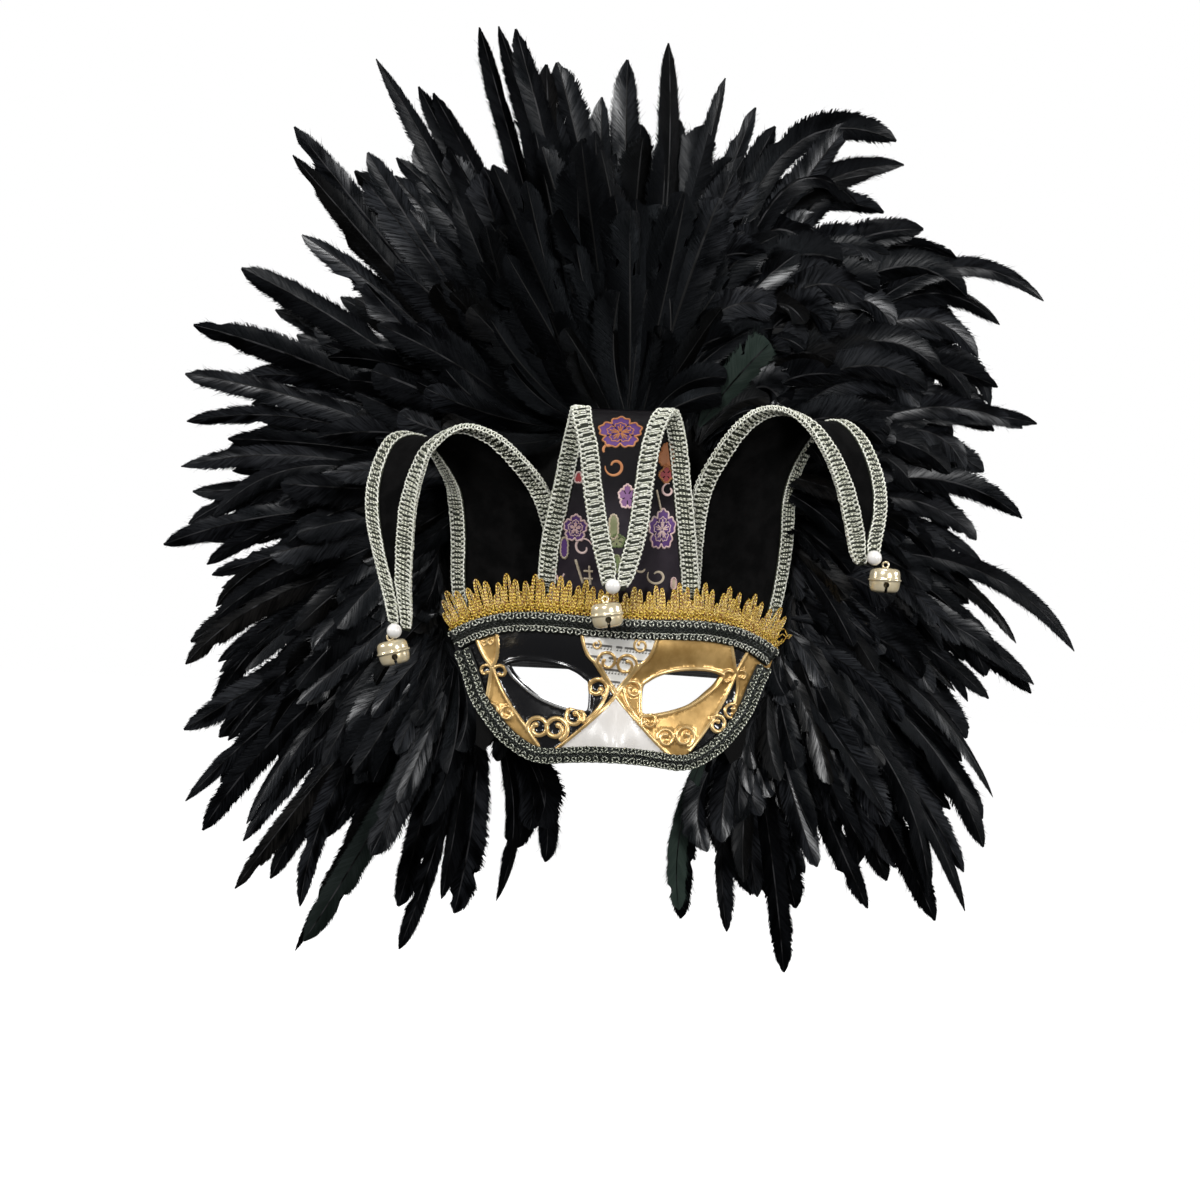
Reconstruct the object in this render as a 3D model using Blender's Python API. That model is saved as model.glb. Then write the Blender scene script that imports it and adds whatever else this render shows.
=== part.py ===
"""Feather masquerade mask: a moulded half mask with gimp braid, a gold lace crown, three
jester horns with pearls and bells, and a fan of black coque feathers on a backing.

The scene is in metres, +Z is up, the mask faces -Y and +X is the viewer's right. The origin
is where the inside of the mask sits on the bridge of the nose. Tables are in millimetres."""

import math

import bpy
import numpy as np
from mathutils.geometry import delaunay_2d_cdt

MM = 0.001

# ---- driving sizes, in millimetres ----
WALL = 1.8            # moulded half mask
GAP = 0.35            # between neighbouring pieces
HALF_WIDTH = 88.0     # half of the mask's width
TEMPLE_DEPTH = 47.0   # how far the temples lie behind the nose bridge
WRAP_POWER = 2.1      # how suddenly the mask bends back towards the temples
NOSE_RISE = 19.0
NOSE_TOP = 4.0
NOSE_LENGTH = 34.0
NOSE_SPREADS = [(0.72, 10.5), (0.28, 24.0)]  # share of the rise, half width
BROW_RISE = 8.0
BROW_FOOT = -2.0
BROW_HEIGHT = 28.0
BROW_SPREAD = 60.0
SOCKET_SINK = 3.5
SOCKET_PLACE = (34.0, 2.0)      # x, z
SOCKET_SPREAD = (19.0, 12.0)
CHEEK_RISE = 2.5
CHEEK_PLACE = (44.0, -24.0)     # x, z
CHEEK_SPREAD = (20.0, 14.0)
LEAN_BACK = 0.10      # slope of the surface carried on above the top edge
LEAN_FROM = 38.0
RELIEF_HALF_WIDTH = 0.95
RELIEF_HEIGHT = 1.1
TOP_BRAID_WIDTH = 11.0
LOWER_BRAID_WIDTH = 8.6
BRAID_THICKNESS = 2.2
BRAID_GAP = 0.7       # under the braid, where the mask curves most
LACE_THICKNESS = 1.0
LACE_TUCK = 5.5       # lace hidden behind the top braid
LACE_HEIGHT = 20.5    # lace above the edge at its highest points
LACE_DIP = 0.2        # how much lower it is over the nose, as a share
LACE_MOTIFS = 14
CLOTH = 1.2           # stiff fabric of the horns
CLOTH_FLAT = 0.4      # share of a horn's half width that is flat before it bows back
BINDING_WIDTH = 10.5
BINDING_THICKNESS = 1.0
BINDING_EASE = 1.0    # room for the cloth inside its folded binding
CLOTH_STOPS = 6.0     # how far inside the fold of its binding a horn's cloth ends
HORN_STATIONS = 17    # places along each horn
BELL_SIDES = 10
PEARL_DIAMETER = 8.0
PEARL_SIDES = 10
BACKING_THICKNESS = 2.0
BACKING_FRONT = 6.0   # its depth at the middle
BACKING_DEPTH = 52.0  # how much deeper it lies at the temples
BACKING_POWER = 1.35
BACKING_SLOPE = 0.5   # beyond the temples
BACKING_MARGIN = 20.0  # beyond the feathers' roots
BACKING_STATIONS = 29
STRAP_WIDTH = 12.0
STRAP_THICKNESS = 1.2
STRAP_Z = 12.0
STRAP_ROUTE = [  # x, y from the middle of the back to an end inside the mask
    (0, 186), (40, 178), (68, 148), (77.5, 105), (79, 72), (78.4, 50), (76.3, 40.5),
    (72.5, 35.5),
]
FAN_CENTRE_Z = 69.0   # the feathers radiate from this height
FAN_SQUEEZE = 0.88    # roots are spread less widely than tips

# Outline of the half mask: top edge from the middle to the corner, then down the side.
TOP_EDGE = [  # x, z
    (0, 38.0), (16, 38.3), (30, 38.8), (46, 38.9), (62, 37.0), (77, 32.0), (HALF_WIDTH, 25.5),
]
SIDE_EDGE = [  # x, z
    (HALF_WIDTH, 25.5), (85.5, 16), (80.5, 4), (75.5, -9), (68, -20.5), (57.5, -31.5),
    (46, -38.8), (36, -41.2), (22, -40), (9.5, -38.7), (0, -38.2),
]
EYE = [  # x, upper z, lower z, from the outer corner to the inner end
    (57.0, 10.0, 10.0), (53.5, 11.2, 5.0), (49.0, 12.0, 1.0), (44.0, 12.2, -3.0),
    (38.0, 11.9, -6.6), (30.0, 10.7, -9.4), (22.5, 8.2, -11.2), (17.5, 5.0, -11.9),
    (14.6, 1.5, -10.8),
]

# Raised lines of the half mask, each a curve with one bend.
MIRRORED_LINES = [  # start x, z, bend x, z, end x, z
    (19.5, 26.5, 18.2, 17.8, 12.6, 14.6),
    (12.6, 14.6, 8.6, 9.0, 0.9, -2.2),
    (9.7, 13.6, 7.2, 7.0, 0.9, 1.2),
    (4.6, 3.0, 3.4, -3.6, 7.2, -9.8),
    (0.0, -3.2, 8.5, -13.5, 26.5, -31.0),
]
LINES = [  # start x, z, bend x, z, end x, z
    (-74.0, 21.5, -69.0, 13.5, -65.0, 9.6),
    (-63.8, 25.0, -62.3, 16.0, -64.8, 9.6),
    (-64.8, 9.2, -66.4, -2.0, -67.0, -12.0),
    (-64.8, 9.2, -58.0, -4.0, -54.4, -11.5),
    (-54.4, -11.5, -46.5, -21.0, -39.0, -31.5),
    (-46.1, -20.0, -43.0, -14.6, -36.3, -18.8),
    (-36.3, -18.8, -30.5, -13.6, -25.0, -20.0),
    (62.1, 25.8, 66.6, 17.0, 66.2, 2.5),
    (66.2, 2.5, 65.6, -6.0, 61.4, -14.1),
    (70.1, 23.0, 66.0, 15.0, 59.0, 1.5),
    (59.0, 1.5, 51.0, -14.0, 41.3, -30.4),
]
CURLS = [  # centre x, z, radius, turns, start angle, hand
    (-10.6, 24.0, 2.6, 0.8, 150, -1),
    (10.6, 24.0, 2.6, 0.8, 30, 1),
    (-4.9, 15.0, 4.7, 1.35, 190, -1),
    (4.9, 15.0, 4.7, 1.35, -10, 1),
    (-9.4, -0.4, 4.4, 1.3, 60, 1),
    (9.4, -0.4, 4.4, 1.3, 120, -1),
    (-38.7, -22.8, 4.4, 1.3, 100, 1),
    (-31.6, -22.2, 4.4, 1.3, 80, -1),
    (-21.3, -17.2, 4.2, 1.3, 250, 1),
    (18.1, -16.4, 3.8, 1.2, 120, -1),
    (27.6, -24.6, 4.0, 1.2, 60, 1),
    (37.7, -22.0, 4.6, 1.2, 170, -1),
    (61.0, 9.2, 3.5, 1.1, 0, 1),
    (69.6, 10.2, 3.0, 1.0, 180, -1),
    (56.0, -15.4, 4.0, 1.2, 60, 1),
    (62.6, -8.0, 3.2, 1.0, 60, 1),
    (-69.0, 4.9, 3.2, 1.1, 0, 1),
    (-60.9, 4.9, 3.2, 1.1, 180, -1),
    (-63.2, -13.6, 3.4, 1.1, 60, 1),
    (-55.8, -16.2, 3.6, 1.1, 120, -1),
]

BRAID_SECTION = [  # share of the width, share of the thickness: two raised rows of loops
    (0.0, 0.45), (0.2, 1.0), (0.5, 0.55), (0.8, 1.0), (1.0, 0.45),
]
LACE_POINTS = [  # share of a motif, share of the height: the outline of one lace cluster
    (0.00, 0.50), (0.17, 0.82), (0.30, 0.68), (0.47, 1.00), (0.62, 0.72), (0.77, 0.86),
]
LACE_HOLES = [  # share of a motif, lower and upper share of the height, half width in mm
    (0.47, 0.40, 0.86, 1.0), (0.80, 0.38, 0.72, 0.8),
]

# Each horn is a strip between its two bound edges, from the base up, over and down to the tip.
CENTRE_HORN = [  # left x, y, z, right x, y, z, bow
    (-37.9, 11.6, 31.0, 36.6, 11.6, 31.0, 11.0),
    (-39.0, 11.4, 56.0, 36.8, 10.8, 57.0, 10.0),
    (-38.5, 6.0, 77.0, 34.0, 6.0, 78.0, 8.0),
    (-35.2, 2.4, 98.0, 30.7, 2.4, 99.0, 6.5),
    (-31.0, -0.5, 126.0, 26.0, -0.5, 128.0, 4.0),
    (-28.6, -3.4, 140.3, 22.8, -3.4, 142.0, 2.0),
    (-27.2, -9.7, 147.3, 18.6, -9.9, 148.5, 0.6),
    (-26.2, -15.6, 140.5, 13.5, -15.6, 142.0, 0.0),
    (-22.2, -18.0, 126.0, 9.8, -18.0, 128.0, -1.0),
    (-18.8, -19.0, 104.7, 7.3, -19.0, 106.0, -1.5),
    (-14.5, -21.0, 83.0, 5.4, -21.0, 84.0, -1.5),
    (-8.6, -22.6, 62.0, 0.4, -22.6, 62.0, 0.0),
    (-5.4, -23.2, 52.5, -4.6, -23.2, 52.5, 0.0),
]
LEFT_HORN = [  # back x, y, z, front x, y, z, bow
    (-79.4, 46.5, 26.0, -34.0, 16.8, 30.0, 4.0),
    (-84.6, 48.0, 52.0, -34.5, 16.6, 60.0, 5.0),
    (-86.3, 41.0, 78.0, -37.5, 14.0, 84.0, 5.0),
    (-89.3, 36.0, 98.0, -45.4, 9.6, 103.0, 4.0),
    (-92.8, 33.0, 108.0, -57.6, -6.0, 116.9, 3.0),
    (-98.4, 31.0, 116.6, -73.5, -13.0, 129.3, 2.0),
    (-106.5, 28.0, 126.0, -91.0, -15.0, 133.0, 1.0),
    (-116.2, 24.0, 129.5, -105.2, -11.0, 122.6, 0.0),
    (-126.3, 19.0, 124.0, -110.5, -7.0, 110.5, -1.0),
    (-132.8, 13.0, 104.0, -114.2, -4.0, 94.0, -1.5),
    (-132.6, 8.0, 84.0, -115.4, -2.0, 77.0, -1.5),
    (-127.6, 4.0, 62.0, -115.4, -1.0, 55.0, -1.0),
    (-119.6, 1.2, 37.0, -114.6, 0.3, 35.0, 0.0),
    (-116.4, 0.5, 25.8, -115.4, 0.5, 25.6, 0.0),
]
RIGHT_HORN = [  # back x, y, z, front x, y, z, bow
    (80.5, 47.5, 26.0, 35.0, 17.4, 30.0, 4.0),
    (86.8, 50.5, 54.0, 37.5, 17.2, 62.0, 5.0),
    (89.4, 44.0, 82.0, 37.8, 13.6, 86.0, 5.0),
    (88.9, 37.0, 104.0, 40.6, 7.5, 109.0, 4.0),
    (90.2, 35.0, 116.0, 49.2, -2.0, 128.5, 3.0),
    (93.5, 33.0, 127.0, 58.5, -9.0, 142.6, 2.0),
    (99.1, 30.0, 139.0, 70.0, -13.0, 151.2, 1.5),
    (106.5, 26.0, 147.6, 83.0, -13.0, 151.8, 1.0),
    (114.8, 20.0, 149.0, 95.7, -9.0, 144.6, 0.0),
    (124.6, 14.0, 139.4, 106.2, -6.0, 131.5, -1.0),
    (132.6, 9.0, 121.0, 114.4, -4.0, 115.0, -1.5),
    (134.9, 5.0, 103.0, 119.8, -3.0, 98.0, -1.5),
    (132.2, 1.0, 83.0, 124.8, -2.0, 81.0, 0.0),
    (130.6, -0.3, 73.8, 129.4, -0.7, 73.6, 0.0),
]

BELL_OUTER = [  # radius, height
    (1.4, 10.0), (1.4, 6.8), (6.2, 6.6), (8.1, 4.6), (8.4, 0.8), (9.0, 0.5), (9.0, -0.1),
    (8.3, -0.5), (7.9, -4.6), (5.8, -6.6),
]
BELL_INNER = [(5.0, -5.6), (6.9, -4.0), (7.4, 0.0), (7.1, 4.0), (5.2, 5.6)]  # radius, height
BELL_SLOT_WIDTH = 1.5
BELL_SLOT_TOP = -2.4
BELL_SLOT_EYE = 1.6   # radius of the round ends of the slot
BELL_CUT_REACH = 12.0  # the slot's cutters run past the bell on each side
BELL_CUT_LOW = -8.0
BELLS = [  # name, x, y, z, tilt in degrees, pearl's x, y, z
    ("center", -8.1, -23.5, 39.3, 10.0, -6.3, -29.8, 54.5),
    ("left", -118.5, 0.5, 13.3, 16.5, -118.8, -6.0, 24.7),
    ("right", 139.7, -1.5, 65.8, 0.0, 132.8, -7.1, 77.4),
]

# The feathers. Angles go round the fan's centre, 0 to the viewer's right and 90 straight up.
ROOT_RING = [  # degrees from the top, radius where the rear feathers start
    (0, 75), (50, 85), (80, 95), (110, 98), (137, 108), (148, 106),
]
BACKING_INNER = [  # degrees from the top, x, z: the backing's edge behind the mask and horns
    (0, 0, 56), (30, 36, 56), (60, 68, 46), (85, 86, 24), (100, 84, 12), (115, 80, 0),
    (137, 66, -13), (148, 57, -22),
]
REACH = [  # tip angle, radius of the rear feathers' tips
    (-78, 205), (-68, 236), (-56, 226), (-45, 270), (-31, 245), (-20, 222), (-11, 262),
    (0, 212), (12, 228), (21, 246), (34, 252), (46, 262), (60, 266), (70, 250), (80, 266),
    (90, 256), (100, 284), (110, 264), (117, 288), (126, 282), (134, 246), (145, 250),
    (160, 240), (176, 246), (190, 226), (205, 250), (217, 262), (230, 266), (240, 240),
    (248, 226), (258, 204),
]
REAR_BANKS = 8
FRONT_BANKS = 6
LOCKS_PER_BANK = 5
REAR_SPAN = 148.0     # degrees from the top, each way
FRONT_SPAN = 138.0
FRONT_REACH = 0.80    # of the rear feathers' reach
FRONT_STEP_IN = 10.0  # the top front feathers start this much nearer to the middle
SPLIT_STEP = 30.0     # locks part this far from their roots
LOCK_SHAPE = [  # share of the length past the split, share of the spacing, ridge thickness
    (0.42, 1.42, 2.6), (0.80, 1.60, 2.0),
]
RIDGE = 3.0           # thickness of a lock along its middle at the root
RIM = 0.9             # and at its edges
BANK_CLEARANCE = 2.2  # between the backing and the joined roots of a bank
BANK_PARTING = 0.25   # degrees trimmed off each side of a bank
LOCK_BEND = 0.5       # where a lock's bend lies, as a share of its length
LOCK_ROOM = 0.84      # most of a lock's width, as a share of its distance to the next
TIP_TURN = 1.2        # degrees a tip may be turned by chance
REAR_SWEEP = 26.0     # how far the rear tips lean back
FRONT_SWEEP = -9.0    # and the front tips forward

COLOURS = {  # name: colour, metallic, roughness
    "shell": ((0.46, 0.30, 0.08, 1), 0.6, 0.35),
    "braid": ((0.05, 0.06, 0.05, 1), 0.3, 0.5),
    "binding": ((0.42, 0.45, 0.36, 1), 0.7, 0.4),
    "lace": ((0.75, 0.48, 0.10, 1), 0.9, 0.35),
    "brocade": ((0.05, 0.03, 0.05, 1), 0.0, 0.6),
    "velvet": ((0.008, 0.008, 0.008, 1), 0.0, 0.9),
    "pearl": ((0.9, 0.88, 0.84, 1), 0.0, 0.25),
    "bell": ((0.85, 0.74, 0.50, 1), 1.0, 0.15),
    "feather": ((0.012, 0.013, 0.014, 1), 0.0, 0.6),
    "backing": ((0.01, 0.01, 0.01, 1), 0.0, 0.9),
    "elastic": ((0.015, 0.015, 0.015, 1), 0.0, 0.8),
}


# ---- general helpers ----
def clear_scene():
    for old in list(bpy.data.objects):
        bpy.data.objects.remove(old, do_unlink=True)


def make_materials():
    made = {}
    for name, (colour, metallic, roughness) in COLOURS.items():
        mat = bpy.data.materials.new(name)
        mat.use_nodes = True
        shader = mat.node_tree.nodes["Principled BSDF"]
        shader.inputs["Base Color"].default_value = colour
        shader.inputs["Metallic"].default_value = metallic
        shader.inputs["Roughness"].default_value = roughness
        made[name] = mat
    return made


def signed_volume(points, faces):
    total = 0.0
    for face in faces:
        first = points[face[0]]
        for second, third in zip(face[1:-1], face[2:]):
            total += np.dot(first, np.cross(points[second], points[third]))
    return total / 6


def add_solid(name, points, faces, mat, smooth=False):
    """A named mesh object from points in millimetres, with its faces turned to face out."""
    points = np.asarray(points, float)
    if signed_volume(points, faces) < 0:
        faces = [tuple(reversed(face)) for face in faces]
    mesh = bpy.data.meshes.new(name)
    mesh.from_pydata([tuple(p) for p in points * MM], [], [tuple(f) for f in faces])
    mesh.materials.append(mat)
    mesh.polygons.foreach_set("use_smooth", [smooth] * len(mesh.polygons))
    mesh.update()
    solid = bpy.data.objects.new(name, mesh)
    bpy.context.scene.collection.objects.link(solid)
    return solid


def through(rows, per_row):
    """Points on a Catmull-Rom curve through the rows, in any number of columns."""
    rows = np.asarray(rows, float)
    ends = np.vstack([2 * rows[0] - rows[1], rows, 2 * rows[-1] - rows[-2]])
    share = np.linspace(0, 1, per_row, endpoint=False)[:, None]
    points = []
    for a, b, c, d in zip(ends[:-3], ends[1:-2], ends[2:-1], ends[3:]):
        points.append(0.5 * (2 * b + (c - a) * share + (2 * a - 5 * b + 4 * c - d) * share**2
                             + (3 * b - a - 3 * c + d) * share**3))
    return np.vstack(points + [rows[-1:]])


def smooth_path(rows, count):
    """Evenly spaced points on a smooth curve through the rows."""
    dense = through(rows, 16)
    run = np.concatenate([[0], np.cumsum(np.linalg.norm(np.diff(dense, axis=0), axis=1))])
    wanted = np.linspace(0, run[-1], count)
    return np.stack([np.interp(wanted, run, column) for column in dense.T], axis=1)


def unit(vectors):
    return vectors / np.linalg.norm(vectors, axis=-1, keepdims=True)


def loft(rings):
    """Points and faces of a tube through rings of equal length, closed by flat ends."""
    count, size = len(rings), len(rings[0])
    points = np.concatenate(rings)
    faces = [
        (i * size + j, i * size + (j + 1) % size,
         (i + 1) * size + (j + 1) % size, (i + 1) * size + j)
        for i in range(count - 1)
        for j in range(size)
    ]
    faces.append(tuple(reversed(range(size))))
    faces.append(tuple(range((count - 1) * size, count * size)))
    return points, faces


def turned(profile, sides):
    """Points and faces of a solid turned about Z. Its profile starts and ends on the axis."""
    rim = profile[1:-1]
    points = [(0, 0, profile[0][1]), (0, 0, profile[-1][1])]
    for radius, height in rim:
        for k in range(sides):
            turn = 2 * math.pi * k / sides
            points.append((radius * math.cos(turn), radius * math.sin(turn), height))
    faces = []
    for k in range(sides):
        after = (k + 1) % sides
        faces.append((0, 2 + k, 2 + after))
        for i in range(len(rim) - 1):
            a, b = 2 + i * sides, 2 + (i + 1) * sides
            faces.append((a + k, b + k, b + after, a + after))
        last = 2 + (len(rim) - 1) * sides
        faces.append((1, last + after, last + k))
    return np.array(points, float), faces


# ---- the face surface ----
def mound(side, z, place, spread):
    """1 at a place on either side of the face, falling off smoothly round it."""
    return np.exp(-(((side - place[0]) / spread[0]) ** 2) - ((z - place[1]) / spread[1]) ** 2)


def eased(share):
    share = np.clip(share, 0, 1)
    return share * share * (3 - 2 * share)


def raw_face_y(x, z):
    side = np.abs(x)
    wrap = TEMPLE_DEPTH * (side / HALF_WIDTH) ** WRAP_POWER
    across = sum(part * np.exp(-((side / spread) ** 2)) for part, spread in NOSE_SPREADS)
    nose = NOSE_RISE * eased((NOSE_TOP - z) / NOSE_LENGTH) * across
    brow = BROW_RISE * eased((z - BROW_FOOT) / BROW_HEIGHT) * np.exp(-((side / BROW_SPREAD) ** 2))
    socket = SOCKET_SINK * mound(side, z, SOCKET_PLACE, SOCKET_SPREAD)
    cheek = CHEEK_RISE * mound(side, z, CHEEK_PLACE, CHEEK_SPREAD)
    lean = LEAN_BACK * np.maximum(z - LEAN_FROM, 0)
    return wrap - nose - brow + socket - cheek + lean


def face_y(x, z):
    """The mask's outer surface. Its inner surface passes through the origin."""
    return raw_face_y(x, z) - raw_face_y(0.0, 0.0) - WALL


def on_face(flat, offset):
    """Points over the outer surface, at flat x and z and a distance in front of it."""
    x, z = np.asarray(flat, float).T
    step = 0.05
    slope_x = (face_y(x + step, z) - face_y(x - step, z)) / (2 * step)
    slope_z = (face_y(x, z + step) - face_y(x, z - step)) / (2 * step)
    out = unit(np.stack([slope_x, -np.ones_like(x), slope_z], axis=1))
    return np.stack([x, face_y(x, z), z], axis=1) + out * np.reshape(offset, (-1, 1))


def mirrored(rows):
    """A half outline made whole, from the viewer's left to the right, its middle row shared."""
    rows = np.asarray(rows, float)
    return np.vstack([rows[::-1][:-1] * (-1, 1), rows])


def top_path(count):
    return smooth_path(mirrored(TOP_EDGE), count)


def lower_path(count):
    """From the right corner down the side, under the nose and up to the left corner."""
    half = np.asarray(SIDE_EDGE, float)
    return smooth_path(np.vstack([half, half[::-1][1:] * (-1, 1)]), count)


def eye_loop(sign):
    rows = np.asarray(EYE, float)
    upper, lower = rows[:, [0, 1]], rows[::-1][:-1][:, [0, 2]]
    return np.vstack([upper, lower]) * (sign, 1)


def distance_to(points, path, closed=False):
    """Distance from each point to a path in the flat."""
    ends = np.vstack([path, path[:1]]) if closed else np.asarray(path)
    a, b = ends[:-1], ends[1:]
    along = b - a
    share = ((points[:, None] - a) * along).sum(2) / np.maximum((along**2).sum(1), 1e-12)
    nearest = a + np.clip(share, 0, 1)[..., None] * along
    return np.linalg.norm(points[:, None] - nearest, axis=2).min(axis=1)


def inside(points, loop):
    """Which points lie within a loop, by counting crossings."""
    x, z = points.T
    found = np.zeros(len(points), bool)
    for (x0, z0), (x1, z1) in zip(loop, np.roll(loop, -1, axis=0)):
        crosses = (z0 > z) != (z1 > z)
        if z0 != z1:
            found ^= crosses & (x < (x1 - x0) * (z - z0) / (z1 - z0) + x0)
    return found


def triangulate(loops, holes, extra_loops, extra_points):
    """A flat triangulation of loops less holes: points, triangles and the points of each loop."""
    points, edges, places = [], [], []
    for loop in [*loops, *holes, *extra_loops]:
        start = len(points)
        points.extend(loop)
        places.append(range(start, len(points)))
        edges += [(start + i, start + (i + 1) % len(loop)) for i in range(len(loop))]
    points.extend(extra_points)
    found = delaunay_2d_cdt([tuple(p) for p in points], edges, [], 0, 1e-5, True)
    flat = np.array([tuple(p) for p in found[0]], float)
    new_place = {old: new for new, olds in enumerate(found[3]) for old in olds}
    triangles = np.array(found[2])
    middles = flat[triangles].mean(axis=1)
    keep = np.zeros(len(triangles), bool)
    for loop in loops:
        keep |= inside(middles, loop)
    for hole in holes:
        keep &= ~inside(middles, hole)
    kept_loops = [[new_place[i] for i in place] for place in places[:len(loops) + len(holes)]]
    return flat, triangles[keep], kept_loops


def plate(name, loops, holes, front, back, mat, inner_points=(), relief=((), ()), smooth=False):
    """A sheet with holes: front and back surfaces joined by walls round each loop."""
    feet, crests = relief
    flat_front, tris_front, rims_front = triangulate(loops, holes, feet, [*inner_points, *crests])
    flat_back, tris_back, rims_back = triangulate(loops, holes, (), inner_points)
    shift = len(flat_front)
    points = np.vstack([front(flat_front), back(flat_back)])
    faces = [tuple(t) for t in tris_front]
    faces += [tuple(shift + i for i in reversed(t)) for t in tris_back]
    for number, (rim_front, rim_back) in enumerate(zip(rims_front, rims_back)):
        loop = [*loops, *holes][number]
        turn = np.sum(np.cross(loop, np.roll(loop, -1, axis=0)))
        forward = (turn > 0) != (number >= len(loops))
        for i in range(len(rim_front)):
            j = (i + 1) % len(rim_front)
            wall = (rim_front[i], shift + rim_back[i], shift + rim_back[j], rim_front[j])
            faces.append(wall if forward else tuple(reversed(wall)))
    used = np.unique(np.concatenate([np.ravel(f) for f in faces]))
    place = {old: new for new, old in enumerate(used)}
    faces = [tuple(place[i] for i in f) for f in faces]
    return add_solid(name, points[used], faces, mat, smooth)


# ---- the half mask ----
def bend_curve(row, count=5):
    start, bend, end = (np.array(row[i:i + 2], float) for i in (0, 2, 4))
    t = np.linspace(0, 1, count)[:, None]
    return (1 - t) ** 2 * start + 2 * t * (1 - t) * bend + t**2 * end


def curl_curve(row):
    x, z, radius, turns, start, hand = row
    steps = max(5, int(turns * 8))
    t = np.linspace(0, 1, steps)
    turn = np.radians(start + hand * 360 * turns * t)
    reach = radius * (1 - 0.62 * t)
    return np.stack([x + reach * np.cos(turn), z + reach * np.sin(turn)], axis=1)


def clear_runs(line, eyes):
    """The stretches of a raised line that keep off the braids and the eye openings."""
    clear = distance_to(line, top_path(60)) > TOP_BRAID_WIDTH + 1.3 * RELIEF_HALF_WIDTH + GAP
    clear &= distance_to(line, lower_path(90)) > LOWER_BRAID_WIDTH + 1.3 * RELIEF_HALF_WIDTH + GAP
    for eye in eyes:
        clear &= distance_to(line, eye, closed=True) > RELIEF_HALF_WIDTH + 0.3
        clear &= ~inside(line, eye)
    runs, run = [], []
    for point, good in zip(line, clear):
        if good:
            run.append(point)
        elif run:
            runs.append(np.array(run))
            run = []
    if run:
        runs.append(np.array(run))
    return [r for r in runs if len(r) >= 3]


def side_normals(line):
    along = np.gradient(line, axis=0)
    return unit(np.stack([along[:, 1], -along[:, 0]], axis=1))


def ridge_outline(line):
    """The foot of a raised line, as a loop round it with a point at each end."""
    side = side_normals(line) * RELIEF_HALF_WIDTH
    first = line[0] + unit(line[0] - line[1]) * RELIEF_HALF_WIDTH
    last = line[-1] + unit(line[-1] - line[-2]) * RELIEF_HALF_WIDTH
    return np.vstack([first, line + side, last, (line - side)[::-1]])


def eye_rim(eye):
    """The raised edge round an eye opening, as a closed line outside it."""
    loop = smooth_path(np.vstack([eye, eye[:1]]), 23)[:-1]
    along = np.roll(loop, -1, axis=0) - np.roll(loop, 1, axis=0)
    out = unit(np.stack([along[:, 1], -along[:, 0]], axis=1))
    if inside(loop[:1] + out[:1], eye)[0]:
        out = -out
    return loop + out * (RELIEF_HALF_WIDTH + 0.5), out


def make_face_shell(mat):
    outline = np.vstack([top_path(31)[:-1], lower_path(49)[:-1]])
    eyes = [eye_loop(-1), eye_loop(1)]
    curves = [bend_curve(row) for row in LINES]
    for row in MIRRORED_LINES:
        curves += [bend_curve(row), bend_curve(row) * (-1, 1)]
    curves += [curl_curve(row) for row in CURLS]
    ridges = [run for curve in curves for run in clear_runs(curve, eyes)]
    extra = [ridge_outline(ridge) for ridge in ridges]
    crests = [(ridge, False) for ridge in ridges]
    for eye in eyes:
        rim, out = eye_rim(eye)
        crests.append((rim, True))
        extra += [rim + out * RELIEF_HALF_WIDTH, rim - out * (RELIEF_HALF_WIDTH - 0.1)]

    def lift(flat):
        height = np.zeros(len(flat))
        for crest, closed in crests:
            share = 1 - distance_to(flat, crest, closed) / RELIEF_HALF_WIDTH
            height = np.maximum(height, np.clip(share, 0, 1))
        return height * RELIEF_HEIGHT

    step = 10.0
    grid = np.array([(x, z) for x in np.arange(-81, 82, step) for z in np.arange(-36, 37, step)])
    clear = inside(grid, outline) & (distance_to(grid, outline, True) > 3)
    for eye in eyes:
        clear &= ~inside(grid, eye) & (distance_to(grid, eye, True) > 3.5)
    crest_points = np.vstack([crest for crest, _ in crests])
    plate("face_shell", [outline], eyes,
          lambda flat: on_face(flat, lift(flat)),
          lambda flat: on_face(flat, np.full(len(flat), -WALL)),
          mat, inner_points=grid[clear], relief=(extra, crest_points), smooth=True)


# ---- braids and lace on the mask's edge ----
def inward(path):
    """Directions from an edge into the mask, evened out so that the inner row never folds."""
    normals = side_normals(path)
    for _ in range(3):
        normals[1:-1] = (normals[:-2] + 2 * normals[1:-1] + normals[2:]) / 4
    return unit(normals)


def edge_braid(name, path, width, mat, lace_under, back_shares):
    into = inward(path)
    rings = []
    for i, (edge, direction) in enumerate(zip(path, into)):
        scallop = 0.25 if i % 2 else 0.0
        ring = []
        for share, height in BRAID_SECTION:
            base = BRAID_GAP + lace_under(share)
            flat = edge + direction * (share * (width - 2 * scallop) + scallop)
            ring.append(on_face([flat], base + height * BRAID_THICKNESS)[0])
        for share in back_shares:
            flat = edge + direction * (share * (width - 2 * scallop) + scallop)
            ring.append(on_face([flat], BRAID_GAP + lace_under(share))[0])
        rings.append(np.array(ring))
    points, faces = loft(rings)
    add_solid(name, points, faces, mat)


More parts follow.
